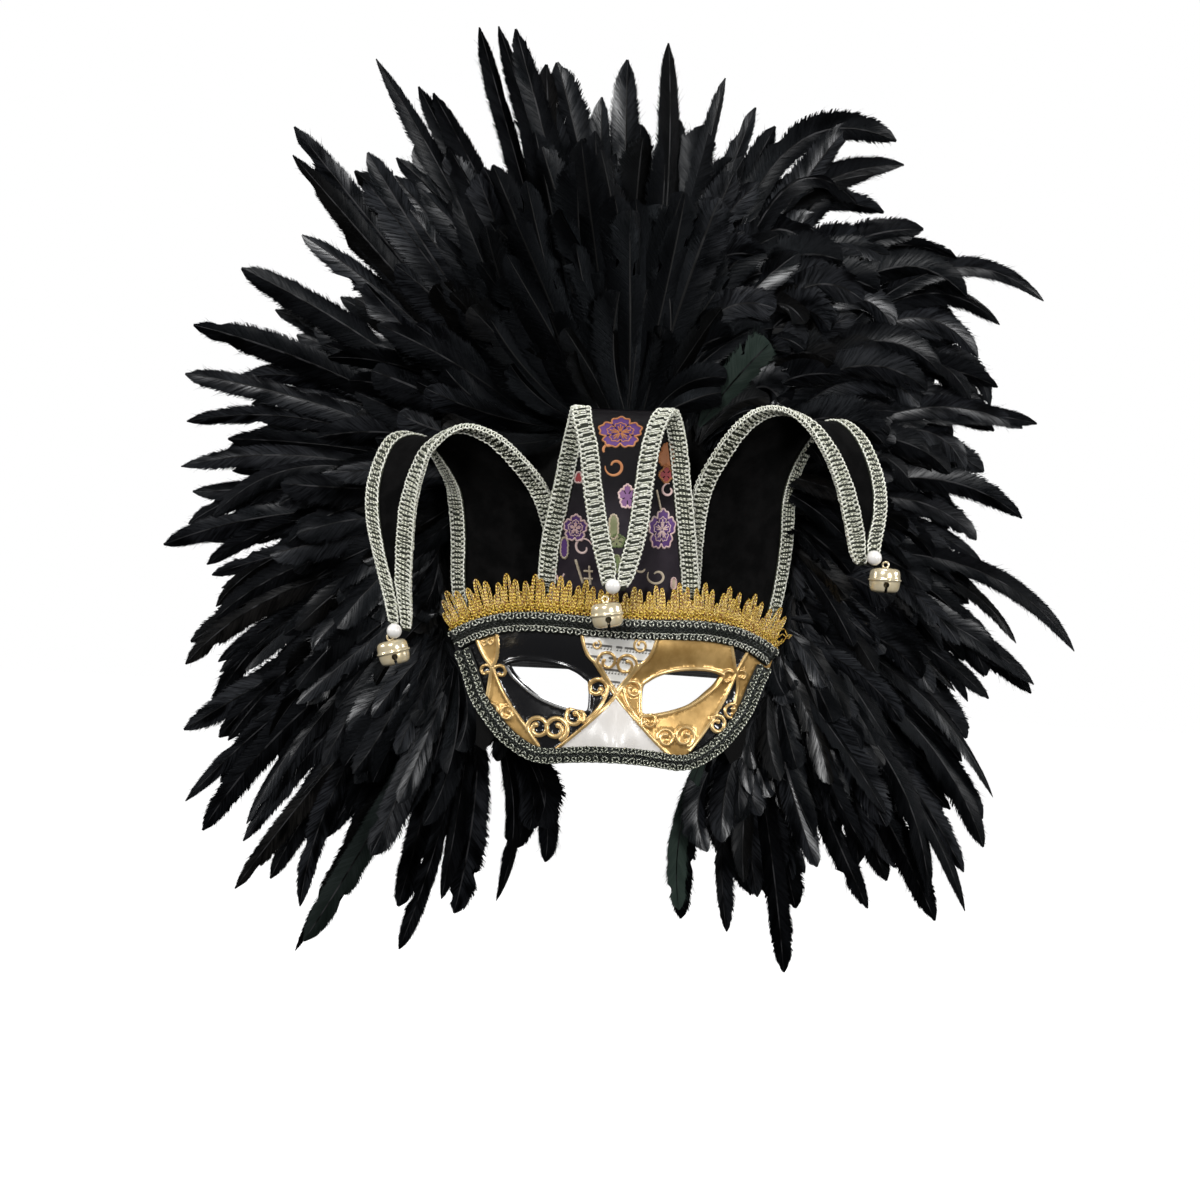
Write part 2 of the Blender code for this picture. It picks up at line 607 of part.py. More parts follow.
def make_edge_braids(mat):
    def over_lace(share):
        clear = LACE_TUCK + 1.0
        past = np.clip((share * TOP_BRAID_WIDTH - clear) / 1.5, 0, 1)
        return (LACE_THICKNESS + GAP) * (1 - past)

    edge_braid("top_braid", top_path(33), TOP_BRAID_WIDTH, mat, over_lace,
               (1.0, 0.8, 0.65, 0.0))
    lower = lower_path(53)
    side_gap = distance_to(lower + inward(lower) * LOWER_BRAID_WIDTH, top_path(80))
    clear = (side_gap > TOP_BRAID_WIDTH + 2 * GAP) & (
        distance_to(lower, top_path(80)) > TOP_BRAID_WIDTH)
    first, last = np.flatnonzero(clear)[[0, -1]]
    edge_braid("lower_braid", lower[first:last + 1], LOWER_BRAID_WIDTH, mat,
               lambda share: 0.0, (1.0, 0.0))


def lace_point(along, height, edge, into):
    """A place on the lace, at a share of the top edge and a height above it."""
    at = along * (len(edge) - 1)
    columns = [np.interp(at, range(len(edge)), column) for column in (*edge.T, *into.T)]
    return np.array(columns[:2]) - np.array(columns[2:]) * height


def make_gold_lace(mat):
    edge = top_path(120)
    into = inward(edge)
    end = 0.012
    pitch = (1 - 2 * end) / LACE_MOTIFS

    def tall(along):
        return LACE_HEIGHT * (1 - LACE_DIP * math.exp(-((along - 0.5) / 0.12) ** 2))

    upper, holes = [], []
    for motif in range(LACE_MOTIFS):
        start = end + motif * pitch
        for share, height in LACE_POINTS:
            along = start + share * pitch
            upper.append(lace_point(along, height * tall(along), edge, into))
        for share, low, high, half in LACE_HOLES:
            along = start + share * pitch
            low_point = lace_point(along, low * tall(along), edge, into)
            high_point = lace_point(along, high * tall(along), edge, into)
            middle = (low_point + high_point) / 2
            side = unit(np.array([high_point[1] - low_point[1], low_point[0] - high_point[0]]))
            holes.append(np.array([low_point, middle + side * half,
                                   high_point, middle - side * half]))
    upper.append(lace_point(1 - end, LACE_POINTS[0][1] * tall(1.0), edge, into))
    lower = [lace_point(along, -LACE_TUCK, edge, into)
             for along in np.linspace(1 - end, end, 2 * LACE_MOTIFS + 1)]
    outline = np.array(upper + lower)
    plate("gold_lace", [outline], holes,
          lambda flat: on_face(flat, np.full(len(flat), GAP + LACE_THICKNESS)),
          lambda flat: on_face(flat, np.full(len(flat), GAP)), mat)


# ---- horns ----
def horn_frames(rows):
    """Stations along a horn: middle, direction across, direction off the cloth, half width, bow."""
    dense = through(rows, 12)
    places = np.linspace(0, len(dense) - 1, HORN_STATIONS).round().astype(int)
    stations = dense[places]
    one, two, bow = stations[:, :3], stations[:, 3:6], stations[:, 6]
    middle = (one + two) / 2
    across = unit(two - one)
    along = unit(np.gradient(middle, axis=0))
    off = unit(np.cross(along, across))
    if off[0, 1] < 0:
        off = -off
    half = np.linalg.norm(two - one, axis=1) / 2 + BINDING_WIDTH / 2
    return middle, across, off, half, bow


def bowed(frame, i, from_middle, out):
    """A point of station i: a distance from the middle line and a height off the bowed cloth."""
    middle, across, off, half, bow = frame
    slope = bow[i] * (1 - CLOTH_FLAT**2) / (half[i] * (1 - CLOTH_FLAT))
    flat = CLOTH_FLAT * half[i]
    rise = slope * (half[i] - max(abs(from_middle), flat))
    tilt = slope * np.clip((abs(from_middle) - flat) / 1e-6 + 0.5, 0, 1) * np.sign(from_middle)
    normal = unit(off[i] - across[i] * tilt)
    return middle[i] + across[i] * from_middle - off[i] * rise + normal * out


def make_horn(name, rows, mat, binding_mat, binding_names):
    frame = horn_frames(rows)
    half = frame[3]
    rings = []
    for i in range(len(half)):
        reach = half[i] - min(CLOTH_STOPS, 0.45 * half[i])
        flat = CLOTH_FLAT * half[i]
        bound = max(half[i] - BINDING_WIDTH, (flat + reach) / 2)
        places = (-reach, -bound, -flat, flat, bound, reach)
        ring = [bowed(frame, i, place, -CLOTH / 2) for place in places]
        ring += [bowed(frame, i, place, CLOTH / 2) for place in reversed(places)]
        rings.append(np.array(ring))
    points, faces = loft(rings)
    add_solid(name, points, faces, mat, smooth=True)

    inner = CLOTH / 2 + BINDING_EASE
    outer = inner + BINDING_THICKNESS
    for sign, binding_name in zip((-1, 1), binding_names):
        rings = []
        for i in range(len(half)):
            width = min(BINDING_WIDTH, half[i] - GAP)
            section = [(0, -outer), (width, -outer), (width, -inner),
                       (BINDING_THICKNESS, -inner), (BINDING_THICKNESS, inner),
                       (width, inner), (width, outer), (0, outer)]
            rings.append(np.array([bowed(frame, i, sign * (half[i] - depth), out)
                                   for depth, out in section]))
        points, faces = loft(rings)
        add_solid(f"{name}_binding_{binding_name}", points, faces, binding_mat)


# ---- pearls and bells ----
def rotated(points, tilt):
    """Points turned about the Y axis, clockwise for the viewer when the tilt is negative."""
    turn = math.radians(tilt)
    x, y, z = points.T
    return np.stack([x * math.cos(turn) - z * math.sin(turn), y,
                     x * math.sin(turn) + z * math.cos(turn)], axis=1)


def cutter(name, points, faces, target):
    tool = add_solid(name, points, faces, target.data.materials[0])
    tool.hide_render = True
    tool.display_type = "WIRE"
    cut = target.modifiers.new(name, "BOOLEAN")
    cut.operation = "DIFFERENCE"
    cut.solver = "EXACT"
    cut.object = tool


def make_bell(name, place, tilt, mat):
    profile = [(0, BELL_OUTER[0][1]), *BELL_OUTER, (0, BELL_OUTER[-1][1])]
    points, faces = turned(profile, BELL_SIDES)
    bell = add_solid(name, rotated(points, tilt) + place, faces, mat)
    hollow = [(0, BELL_INNER[0][1]), *BELL_INNER, (0, BELL_INNER[-1][1])]
    points, faces = turned(hollow, BELL_SIDES)
    cutter(f"{name}_hollow", rotated(points, tilt) + place, faces, bell)
    half = BELL_SLOT_WIDTH / 2
    slot = [(half, BELL_CUT_LOW), (half, BELL_SLOT_TOP), (-half, BELL_SLOT_TOP),
            (-half, BELL_CUT_LOW)]
    turns = np.radians(np.arange(0, 360, 45) + 22.5)
    eye = [(BELL_SLOT_EYE * math.cos(turn), BELL_SLOT_TOP + BELL_SLOT_EYE * math.sin(turn))
           for turn in turns]
    for cut_name, ring in (("slot", slot), ("slot_eye", eye)):
        rings = [np.array([(x, y, z) for x, z in ring])
                 for y in (-BELL_CUT_REACH, BELL_CUT_REACH)]
        points, faces = loft(rings)
        cutter(f"{name}_{cut_name}", rotated(points, tilt) + place, faces, bell)


def make_pearl(name, place, mat):
    radius = PEARL_DIAMETER / 2
    arc = [(radius * math.sin(math.radians(a)), radius * math.cos(math.radians(a)))
           for a in np.linspace(0, 180, 7)]
    points, faces = turned(arc, PEARL_SIDES)
    add_solid(name, points + place, faces, mat, smooth=True)


# ---- feathers ----
def backing_y(x):
    """Front of the feather backing, which bends back past the temples."""
    side = np.abs(x)
    near = np.minimum(side, HALF_WIDTH)
    bend = BACKING_DEPTH * (near / HALF_WIDTH) ** BACKING_POWER
    return BACKING_FRONT + bend + BACKING_SLOPE * (side - near)


def fan_point(angle, radius):
    turn = math.radians(angle)
    return np.array([radius * math.cos(turn), FAN_CENTRE_Z + radius * math.sin(turn)])


def root_radius(angle):
    from_top, radius = np.array(ROOT_RING, float).T
    return float(np.interp(abs(90 - angle), from_top, radius))


def tip_reach(angle):
    angles, radii = np.array(REACH, float).T
    return float(np.interp(angle, angles, radii))


def make_backing(mat):
    rows = np.array(BACKING_INNER, float)
    rings = []
    for from_top in np.linspace(-REAR_SPAN, REAR_SPAN, BACKING_STATIONS):
        inner_x = np.sign(from_top) * np.interp(abs(from_top), rows[:, 0], rows[:, 1])
        inner = np.array([inner_x, np.interp(abs(from_top), rows[:, 0], rows[:, 2])])
        angle = 90 - from_top
        outer = fan_point(angle, root_radius(angle) + BACKING_MARGIN)
        flats = [inner + (outer - inner) * share for share in np.linspace(0, 1, 4)]
        front = [(x, backing_y(x), z) for x, z in flats]
        back = [(x, backing_y(x) + BACKING_THICKNESS, z) for x, z in reversed(flats)]
        rings.append(np.array(front + back))
    points, faces = loft(rings)
    add_solid("feather_backing", points, faces, mat, smooth=True)


def lock_section(middle, side, width, y, ridge):
    """Six points round a lock: its two edges and its middle, front and back."""
    left, right = middle - side * width / 2, middle + side * width / 2
    low, high = RIM / 2, ridge / 2
    return [
        (left[0], y - low, left[1]), (middle[0], y - high, middle[1]),
        (right[0], y - low, right[1]), (right[0], y + low, right[1]),
        (middle[0], y + high, middle[1]), (left[0], y + low, left[1]),
    ]


def lock_curve(angle, root, reach_share, luck):
    """The split, bend and tip of one lock's middle line."""
    split = fan_point(angle, root + SPLIT_STEP)
    tip_angle = 90 + (angle - 90) / FAN_SQUEEZE + luck.uniform(-TIP_TURN, TIP_TURN)
    reach = tip_reach(tip_angle) * reach_share * luck.uniform(0.95, 1.02)
    tip = fan_point(tip_angle, reach)
    outward = unit(split - fan_point(0, 0))
    return split, split + outward * np.linalg.norm(tip - split) * LOCK_BEND, tip


def on_curve(curve, share):
    """A place on a lock's middle line, and the direction there."""
    split, bend, tip = curve
    place = (1 - share) ** 2 * split + 2 * share * (1 - share) * bend + share**2 * tip
    return place, unit(2 * (1 - share) * (bend - split) + 2 * share * (tip - bend))


def make_bank(name, start, end, step_in, y_shift, reach_share, sweep, luck, mat):
    """A sector of feathers: a joined sheet at the roots that parts into pointed locks."""
    borders = np.linspace(start, end, LOCKS_PER_BANK + 1)
    points, faces = [], []

    def add(new):
        points.extend(new)
        return list(range(len(points) - len(new), len(points)))

    def root(angle):
        return root_radius(angle) - step_in * max(0.0, math.sin(math.radians(angle)))

    def edge_pair(angle, radius):
        x, z = fan_point(angle, radius)
        y = backing_y(x) + y_shift
        return add([(x, y - RIM / 2, z), (x, y + RIM / 2, z)])

    middles = (borders[:-1] + borders[1:]) / 2
    curves = [lock_curve(angle, root(angle), reach_share, luck) for angle in middles]
    root_edges = [edge_pair(a, root(a)) for a in borders]
    split_edges = [edge_pair(a, root(a) + SPLIT_STEP) for a in borders]

    def quad_strip(ring_a, ring_b, skip=()):
        for k in range(6):
            if k not in skip:
                n = (k + 1) % 6
                faces.append((ring_a[k], ring_a[n], ring_b[n], ring_b[k]))

    for i, angle in enumerate(middles):
        middle_pairs = []
        for radius in (root(angle), root(angle) + SPLIT_STEP):
            x, z = fan_point(angle, radius)
            y = backing_y(x) + y_shift
            middle_pairs.append(add([(x, y - RIDGE / 2, z), (x, y + RIDGE / 2, z)]))
        rings = []
        for edges, (mid_front, mid_back) in zip((root_edges, split_edges), middle_pairs):
            (a_front, a_back), (b_front, b_back) = edges[i], edges[i + 1]
            rings.append([a_front, mid_front, b_front, b_back, mid_back, a_back])
        faces.append(tuple(reversed(rings[0])))
        skip = set()
        if i > 0:
            skip.add(5)
        if i < LOCKS_PER_BANK - 1:
            skip.add(2)
        quad_strip(rings[0], rings[1], skip)

        one, other = points[split_edges[i][0]], points[split_edges[i + 1][0]]
        spacing = np.linalg.norm(np.subtract(one, other))
        split, _, tip = curves[i]
        y_root = backing_y(split[0]) + y_shift
        last = rings[1]
        for share, width, ridge in LOCK_SHAPE:
            middle, along = on_curve(curves[i], share)
            side = np.array([-along[1], along[0]])
            beside = curves[max(0, i - 1):i] + curves[i + 1:i + 2]
            room = min(np.linalg.norm(on_curve(curve, s)[0] - middle)
                       for curve in beside for s in np.linspace(0, 1, 21))
            width = min(spacing * width, LOCK_ROOM * room)
            ring = add(lock_section(middle, side, width, y_root + sweep * share, ridge))
            quad_strip(last, ring)
            last = ring
        (apex,) = add([(tip[0], y_root + sweep, tip[1])])
        faces.extend((last[k], last[(k + 1) % 6], apex) for k in range(6))
    add_solid(name, points, faces, mat)


def make_feathers(mat):
    luck = np.random.default_rng(8)
    rear_y = BACKING_THICKNESS + BANK_CLEARANCE + RIDGE / 2
    front_y = -BANK_CLEARANCE - RIDGE / 2
    sectors = [
        ("rear", REAR_BANKS, REAR_SPAN, 0.0, rear_y, 1.0, REAR_SWEEP),
        ("front", FRONT_BANKS, FRONT_SPAN, FRONT_STEP_IN, front_y, FRONT_REACH, FRONT_SWEEP),
    ]
    for layer, count, span, step_in, y_shift, reach_share, sweep in sectors:
        borders = np.linspace(90 - span, 90 + span, count + 1)
        for i in range(count):
            start, end = borders[i] + BANK_PARTING, borders[i + 1] - BANK_PARTING
            make_bank(f"feathers_{layer}_{i + 1}", start, end, step_in, y_shift, reach_share,
                      sweep, luck, mat)


# ---- elastic ----
def make_strap(mat):
    """One band from temple to temple round the back of the head, its ends inside the mask."""
    whole = smooth_path(mirrored(STRAP_ROUTE), 29)
    along = unit(np.gradient(whole, axis=0))
    out = np.stack([along[:, 1], -along[:, 0]], axis=1)
    low, high = STRAP_Z - STRAP_WIDTH / 2, STRAP_Z + STRAP_WIDTH / 2
    rings = []
    for place, side in zip(whole, out):
        a, b = place - side * STRAP_THICKNESS / 2, place + side * STRAP_THICKNESS / 2
        rings.append(np.array([(*a, low), (*b, low), (*b, high), (*a, high)]))
    points, faces = loft(rings)
    add_solid("elastic_strap", points, faces, mat)


def main():
    clear_scene()
    mats = make_materials()
    make_face_shell(mats["shell"])
    make_edge_braids(mats["braid"])
    make_gold_lace(mats["lace"])
    make_horn("horn_center", CENTRE_HORN, mats["brocade"], mats["binding"], ("left", "right"))
    make_horn("horn_left", LEFT_HORN, mats["velvet"], mats["binding"], ("back", "front"))
    make_horn("horn_right", RIGHT_HORN, mats["velvet"], mats["binding"], ("back", "front"))
    for name, x, y, z, tilt, pearl_x, pearl_y, pearl_z in BELLS:
        make_bell(f"bell_{name}", np.array([x, y, z]), tilt, mats["bell"])
        make_pearl(f"pearl_{name}", np.array([pearl_x, pearl_y, pearl_z]), mats["pearl"])
    make_backing(mats["backing"])
    make_feathers(mats["feather"])
    make_strap(mats["elastic"])


main()
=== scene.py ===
# %% [markdown]
# # A feather masquerade mask
# The object is a moulded half mask with gimp braid round its edge, a crown of gold lace, three
# jester horns with pearls and bells, and a big fan of black cockerel feathers. The solids come
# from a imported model, and this script dresses them: it gives every piece its fine shape and its
# material. All tables are in millimetres, and the scene is in metres.

import math

import bmesh
import bpy
import numpy as np
from mathutils import Matrix, Vector
from mathutils.geometry import delaunay_2d_cdt


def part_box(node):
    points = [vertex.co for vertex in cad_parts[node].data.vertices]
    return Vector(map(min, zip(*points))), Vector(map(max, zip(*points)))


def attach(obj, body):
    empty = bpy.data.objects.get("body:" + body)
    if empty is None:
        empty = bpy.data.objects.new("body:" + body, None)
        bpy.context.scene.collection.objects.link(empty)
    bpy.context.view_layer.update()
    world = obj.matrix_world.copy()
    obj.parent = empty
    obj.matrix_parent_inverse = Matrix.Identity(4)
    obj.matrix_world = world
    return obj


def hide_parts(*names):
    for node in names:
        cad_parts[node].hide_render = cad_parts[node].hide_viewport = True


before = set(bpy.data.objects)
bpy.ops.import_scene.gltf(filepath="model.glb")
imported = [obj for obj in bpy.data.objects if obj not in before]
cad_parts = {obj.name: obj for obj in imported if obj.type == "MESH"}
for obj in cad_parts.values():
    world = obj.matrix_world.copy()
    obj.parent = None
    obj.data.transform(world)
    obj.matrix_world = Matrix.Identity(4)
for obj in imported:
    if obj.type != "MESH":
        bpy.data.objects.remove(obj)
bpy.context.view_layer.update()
MM = 0.001
FRONT = np.array([0.0, -1.0, 0.0])  # the way the mask faces
print("CAD nodes:", len(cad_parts))

# %% [markdown]
# ## Meshes from arrays
# Thousands of small threads and feathers would be slow as separate objects. So each piece is
# collected as arrays of points and faces, block by block, and becomes one mesh at the end.
# Every block names its material, and carries a flat map in millimetres for the shaders.


# %% A piece that is built from blocks
class Piece:
    def __init__(self, name, materials, replaces, slot):
        self.name, self.materials = name, materials
        self.replaces, self.slot = replaces, slot
        self.points, self.faces, self.maps, self.tones = [], [], [], []
        self.count = 0

    def add(self, points, faces, material=0, flat=None, tone=0.5):
        """Points in millimetres, a list of face arrays, a flat map and a tone for each point."""
        points = np.asarray(points, float).reshape(-1, 3)
        for block in faces:
            block = np.asarray(block, int)
            if len(block):
                self.faces.append((block + self.count, material))
        self.points.append(points)
        self.maps.append(np.zeros((len(points), 2)) if flat is None else np.reshape(flat, (-1, 2)))
        self.tones.append(np.broadcast_to(np.asarray(tone, float), len(points)))
        self.count += len(points)

    def build(self):
        mesh = bpy.data.meshes.new(self.name)
        points = np.concatenate(self.points) * MM
        corners = np.concatenate([block.ravel() for block, _ in self.faces])
        sizes = np.concatenate([np.full(len(block), block.shape[1]) for block, _ in self.faces])
        picks = np.concatenate([np.full(len(block), pick) for block, pick in self.faces])
        mesh.vertices.add(len(points))
        mesh.vertices.foreach_set("co", points.ravel())
        mesh.loops.add(len(corners))
        mesh.loops.foreach_set("vertex_index", corners)
        mesh.polygons.add(len(sizes))
        mesh.polygons.foreach_set("loop_start", np.concatenate([[0], np.cumsum(sizes)[:-1]]))
        mesh.polygons.foreach_set("material_index", picks)
        mesh.update(calc_edges=True)
        mesh.polygons.foreach_set("use_smooth", np.ones(len(sizes), bool))
        for material in self.materials:
            mesh.materials.append(material)
        layer = mesh.uv_layers.new(name="flat")
        layer.data.foreach_set("uv", np.concatenate(self.maps)[corners].ravel())
        tone = mesh.attributes.new("tone", "FLOAT", "POINT")
        tone.data.foreach_set("value", np.concatenate(self.tones).astype(np.float32))
        mesh.validate()
        made = bpy.data.objects.new(self.name, mesh)
        bpy.context.scene.collection.objects.link(made)
        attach(made, "root")
        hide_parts(*self.replaces)
        print(f"{self.name}: {int((sizes - 2).sum())} triangles")


# %% [markdown]
# ## Paths and cords
# Most of the trim is metallic cord that was looped by a machine. A cord is a tube that is swept
# along a path of points. The path has a facing direction at each point, which keeps the tube
# from spinning, and the flat map runs round the cord and along it, so a shader can twist it.


# %% Smooth paths
def unit(vectors):
    return vectors / np.maximum(np.linalg.norm(vectors, axis=-1, keepdims=True), 1e-12)


def through(rows, per_row):
    """Points on a Catmull-Rom curve through the rows, in any number of columns."""
    rows = np.asarray(rows, float)
    ends = np.vstack([2 * rows[0] - rows[1], rows, 2 * rows[-1] - rows[-2]])
    share = np.linspace(0, 1, per_row, endpoint=False)[:, None]
    points = []
    for a, b, c, d in zip(ends[:-3], ends[1:-2], ends[2:-1], ends[3:]):
        points.append(0.5 * (2 * b + (c - a) * share + (2 * a - 5 * b + 4 * c - d) * share**2
                             + (3 * b - a - 3 * c + d) * share**3))
    return np.vstack(points + [rows[-1:]])


def run_of(path):
    return np.concatenate([[0], np.cumsum(np.linalg.norm(np.diff(path, axis=0), axis=1))])


def smooth_path(rows, count):
    """Evenly spaced points on a smooth curve through the rows."""
    dense = through(rows, 16)
    run = run_of(dense)
    return columns_at(dense, run, np.linspace(0, run[-1], count))


def columns_at(rows, run, wanted):
    """Each column of the rows, read at the wanted places along their run."""
    return np.stack([np.interp(wanted, run, column) for column in rows.T], axis=-1)


# %% A cord along a path
def cord(piece, path, facing, radius, material=0, sides=5, closed=False):
    """A round cord through the points of a path. facing is roughly square to the path, and is
    one direction or one for each point."""
    path = np.asarray(path, float)
    if closed:
        along = np.roll(path, -1, axis=0) - np.roll(path, 1, axis=0)
    else:
        along = np.gradient(path, axis=0)
    along = unit(along)
    side = unit(np.cross(along, facing))
    up = np.cross(side, along)
    turn = np.linspace(0, 2 * math.pi, sides, endpoint=False)
    radius = np.reshape(np.broadcast_to(radius, len(path)), (-1, 1, 1))
    ring = up[:, None] * np.cos(turn)[:, None] + side[:, None] * np.sin(turn)[:, None]
    points = path[:, None] + ring * radius
    n = len(path)
    rows = np.arange(n if closed else n - 1)[:, None]
    i, j = np.arange(sides)[None], np.roll(np.arange(sides), -1)[None]
    after = (rows + 1) % n
    quads = np.stack([rows * sides + i, rows * sides + j, after * sides + j, after * sides + i], -1)
    faces = [quads.reshape(-1, 4)]
    if not closed:
        faces.append([np.arange(sides)[::-1]])
        faces.append([np.arange(sides) + (n - 1) * sides])
    flat = np.stack(np.broadcast_arrays(np.arange(sides)[None] / sides, run_of(path)[:, None]), -1)
    piece.add(points, faces, material, flat)


def strip(piece, rows, material=0, closed=False, flat=None, tone=0.5):
    """A skin over a grid of points: rows of equal length, closed round if asked."""
    rows = np.asarray(rows, float)
    n, m = rows.shape[:2]
    i = np.arange(n - 1)[:, None]
    j = np.arange(m if closed else m - 1)[None]
    k = (j + 1) % m
    corners = (i * m + j, i * m + k, (i + 1) * m + k, (i + 1) * m + j)
    faces = [np.stack(np.broadcast_arrays(*corners), -1).reshape(-1, 4)]
    if closed:
        faces.append([np.arange(m)[::-1]])
        faces.append([np.arange(m) + (n - 1) * m])
    piece.add(rows, faces, material, flat, tone)


# %% [markdown]
# ## Shader maths in Python
# A node tree for even a simple weave has dozens of Math nodes. This small class wraps one output
# socket, and its operators add those nodes, so a pattern reads like a formula. Colours never go
# through Math nodes, which would turn them grey: they are mixed.


# %% Sockets with operators
class Value:
    def __init__(self, finish, socket):
        self.finish, self.socket = finish, socket

    def math(self, operation, *others):
        values = dict(enumerate((self, *others)))
        return self.finish.node("Math", {"operation": operation}, values)

    def __add__(self, other):
        return self.math("ADD", other)

    def __sub__(self, other):
        return self.math("SUBTRACT", other)

    def __rsub__(self, other):
        return self.finish.node("Math", {"operation": "SUBTRACT"}, {0: other, 1: self})

    def __mul__(self, other):
        return self.math("MULTIPLY", other)

    def __truediv__(self, other):
        return self.math("DIVIDE", other)

    __radd__, __rmul__ = __add__, __mul__

    def sine(self):
        return self.math("SINE")

    def absolute(self):
        return self.math("ABSOLUTE")

    def clamp(self):
        return self.math("MAXIMUM", 0.0).math("MINIMUM", 1.0)

    def step(self, low, high):
        """0 below low and 1 above high, with a smooth change between."""
        return self.finish.node("MapRange", {"interpolation_type": "SMOOTHSTEP"},
                                {"Value": self, "From Min": low, "From Max": high})


# %% A finish is a material that is written as formulas
class Finish:
    def __init__(self, name, specular=0.5, **constants):
        self.material = bpy.data.materials.new(name)
        self.material.use_nodes = True
        self.tree = self.material.node_tree
        self.shader = self.tree.nodes["Principled BSDF"]
        for key, value in constants.items():
            self.vary(key.replace("_", " ").title(), value)
        self.vary("Specular IOR Level", specular)

    def node(self, kind, settings=(), inputs=(), output=0):
        """Any node: its type, its settings, and the values or links of its sockets."""
        made = self.tree.nodes.new("ShaderNode" + kind)
        for key, value in dict(settings).items():
            setattr(made, key, value)
        for key, value in dict(inputs).items():
            self.feed(made.inputs[key], value)
        return Value(self, made.outputs[output])

    def feed(self, socket, value):
        if isinstance(value, Value):
            self.tree.links.new(value.socket, socket)
        else:
            socket.default_value = value

    def vary(self, name, value):
        self.feed(self.shader.inputs[name], value)

    def mix(self, share, low, high):
        """A colour between two colours."""
        return self.node("Mix", {"data_type": "RGBA"}, {0: share, 6: low, 7: high}, 2)

    def place(self):
        """Position on the object, in millimetres."""
        spot = self.node("TexCoord", output="Object")
        return self.node("VectorMath", {"operation": "SCALE"}, {0: spot, "Scale": 1000.0})

    def parts(self, vector):
        """The three components of a vector."""
        split = self.node("SeparateXYZ", inputs={0: vector}).socket.node
        return [Value(self, socket) for socket in split.outputs]

    def flat(self):
        """The flat map of a piece, split into its two distances."""
        return self.parts(self.node("UVMap", {"uv_map": "flat"}))[:2]

    def tone(self):
        return self.node("Attribute", {"attribute_name": "tone"}, output="Fac")

    def spot(self, x, y, z=0.0):
        return self.node("CombineXYZ", inputs={0: x, 1: y, 2: z})

    def noise(self, where, scale, detail=2.0, roughness=0.5):
        return self.node("TexNoise", inputs={"Vector": where, "Scale": scale, "Detail": detail,
                                             "Roughness": roughness})

    def bump(self, height, distance_mm, strength=1.0):
        raised = self.node("Bump", inputs={"Height": height, "Distance": distance_mm * MM,
                                           "Strength": strength})
        self.vary("Normal", raised)


def grey(level):
    return (level, level, level, 1)


def mottled(name, grain, colours=None, spread=None, rough=None, bump=None, **constants):
    """A finish that varies with one noise, of a scale, a detail and a roughness. It can mix two
    colours, over a spread of the noise, and change the roughness and the relief."""
    made = Finish(name, **constants)
    noise = made.noise(made.place(), *grain)
    if colours:
        made.vary("Base Color", made.mix(noise.step(*spread) if spread else noise, *colours))
    if rough:
        made.vary("Roughness", noise * rough[0] + rough[1])
    if bump:
        made.bump(noise, *bump)
    return made.material


# %% [markdown]
# ## Camera, light and floor
# The mask is worn, so it is seen level with the eyes, from two metres away and a touch from one
# side. Two soft boxes in front, one above and one to each side give the black feathers their cool
# edges and the lacquer its broad reflections. A lamp behind the mask makes its back readable.

# %% Camera
VIEW_DISTANCE = 2000.0
VIEW_WIDTH = 636.0     # what the camera sees at the mask, from side to side
VIEW_TARGET = (-11.0, 0.0, 47.0)
VIEW_AZIMUTH = -3.0
VIEW_ROLL = 3.2


def make_camera():
    camera = bpy.data.cameras.new("camera")
    camera.sensor_width = 36
    camera.lens = camera.sensor_width * VIEW_DISTANCE / VIEW_WIDTH
    seat = bpy.data.objects.new("camera", camera)
    bpy.context.scene.collection.objects.link(seat)
    turn = math.radians(VIEW_AZIMUTH)
    target = Vector(VIEW_TARGET) * MM
    away = Vector((math.sin(turn), -math.cos(turn), 0)) * VIEW_DISTANCE * MM
    seat.matrix_world = (Matrix.Translation(target + away)
                         @ Matrix.Rotation(turn, 4, "Z") @ Matrix.Rotation(math.radians(90), 4, "X")
                         @ Matrix.Rotation(math.radians(VIEW_ROLL), 4, "Z"))
    bpy.context.scene.camera = seat


make_camera()

# %% Lights, floor and background
SOFT_BOXES = [  # name, x, y, z in metres, size, watts
    ("key", -0.9, -2.1, 1.3, 0.6, 42),
    ("fill", 1.3, -2.2, 0.5, 0.6, 30),
    ("top", 0.0, -0.1, 2.0, 0.7, 14),
    ("side_left", -1.9, -0.1, 0.6, 0.5, 15),
    ("side_right", 1.9, -0.1, 0.6, 0.5, 15),
    ("back", 0.6, 2.3, 1.2, 0.8, 22),
]
ROOM_LIGHT = 0.07      # what the white room adds to the soft boxes
FLOOR_DEPTH = 330.0    # below the nose
FLOOR_REACH = 12.0     # metres from its middle to each side
LAMP_TARGET = Vector((0, 0, 0.1))


def make_lamps():
    for name, x, y, z, size, watts in SOFT_BOXES:
        lamp = bpy.data.lights.new(name, "AREA")
        lamp.shape, lamp.size, lamp.energy = "SQUARE", size, watts
        seat = bpy.data.objects.new(name, lamp)
        seat.location = (x, y, z)
        beam = LAMP_TARGET - Vector((x, y, z))
        seat.rotation_euler = beam.to_track_quat("-Z", "Y").to_euler()
        bpy.context.scene.collection.objects.link(seat)


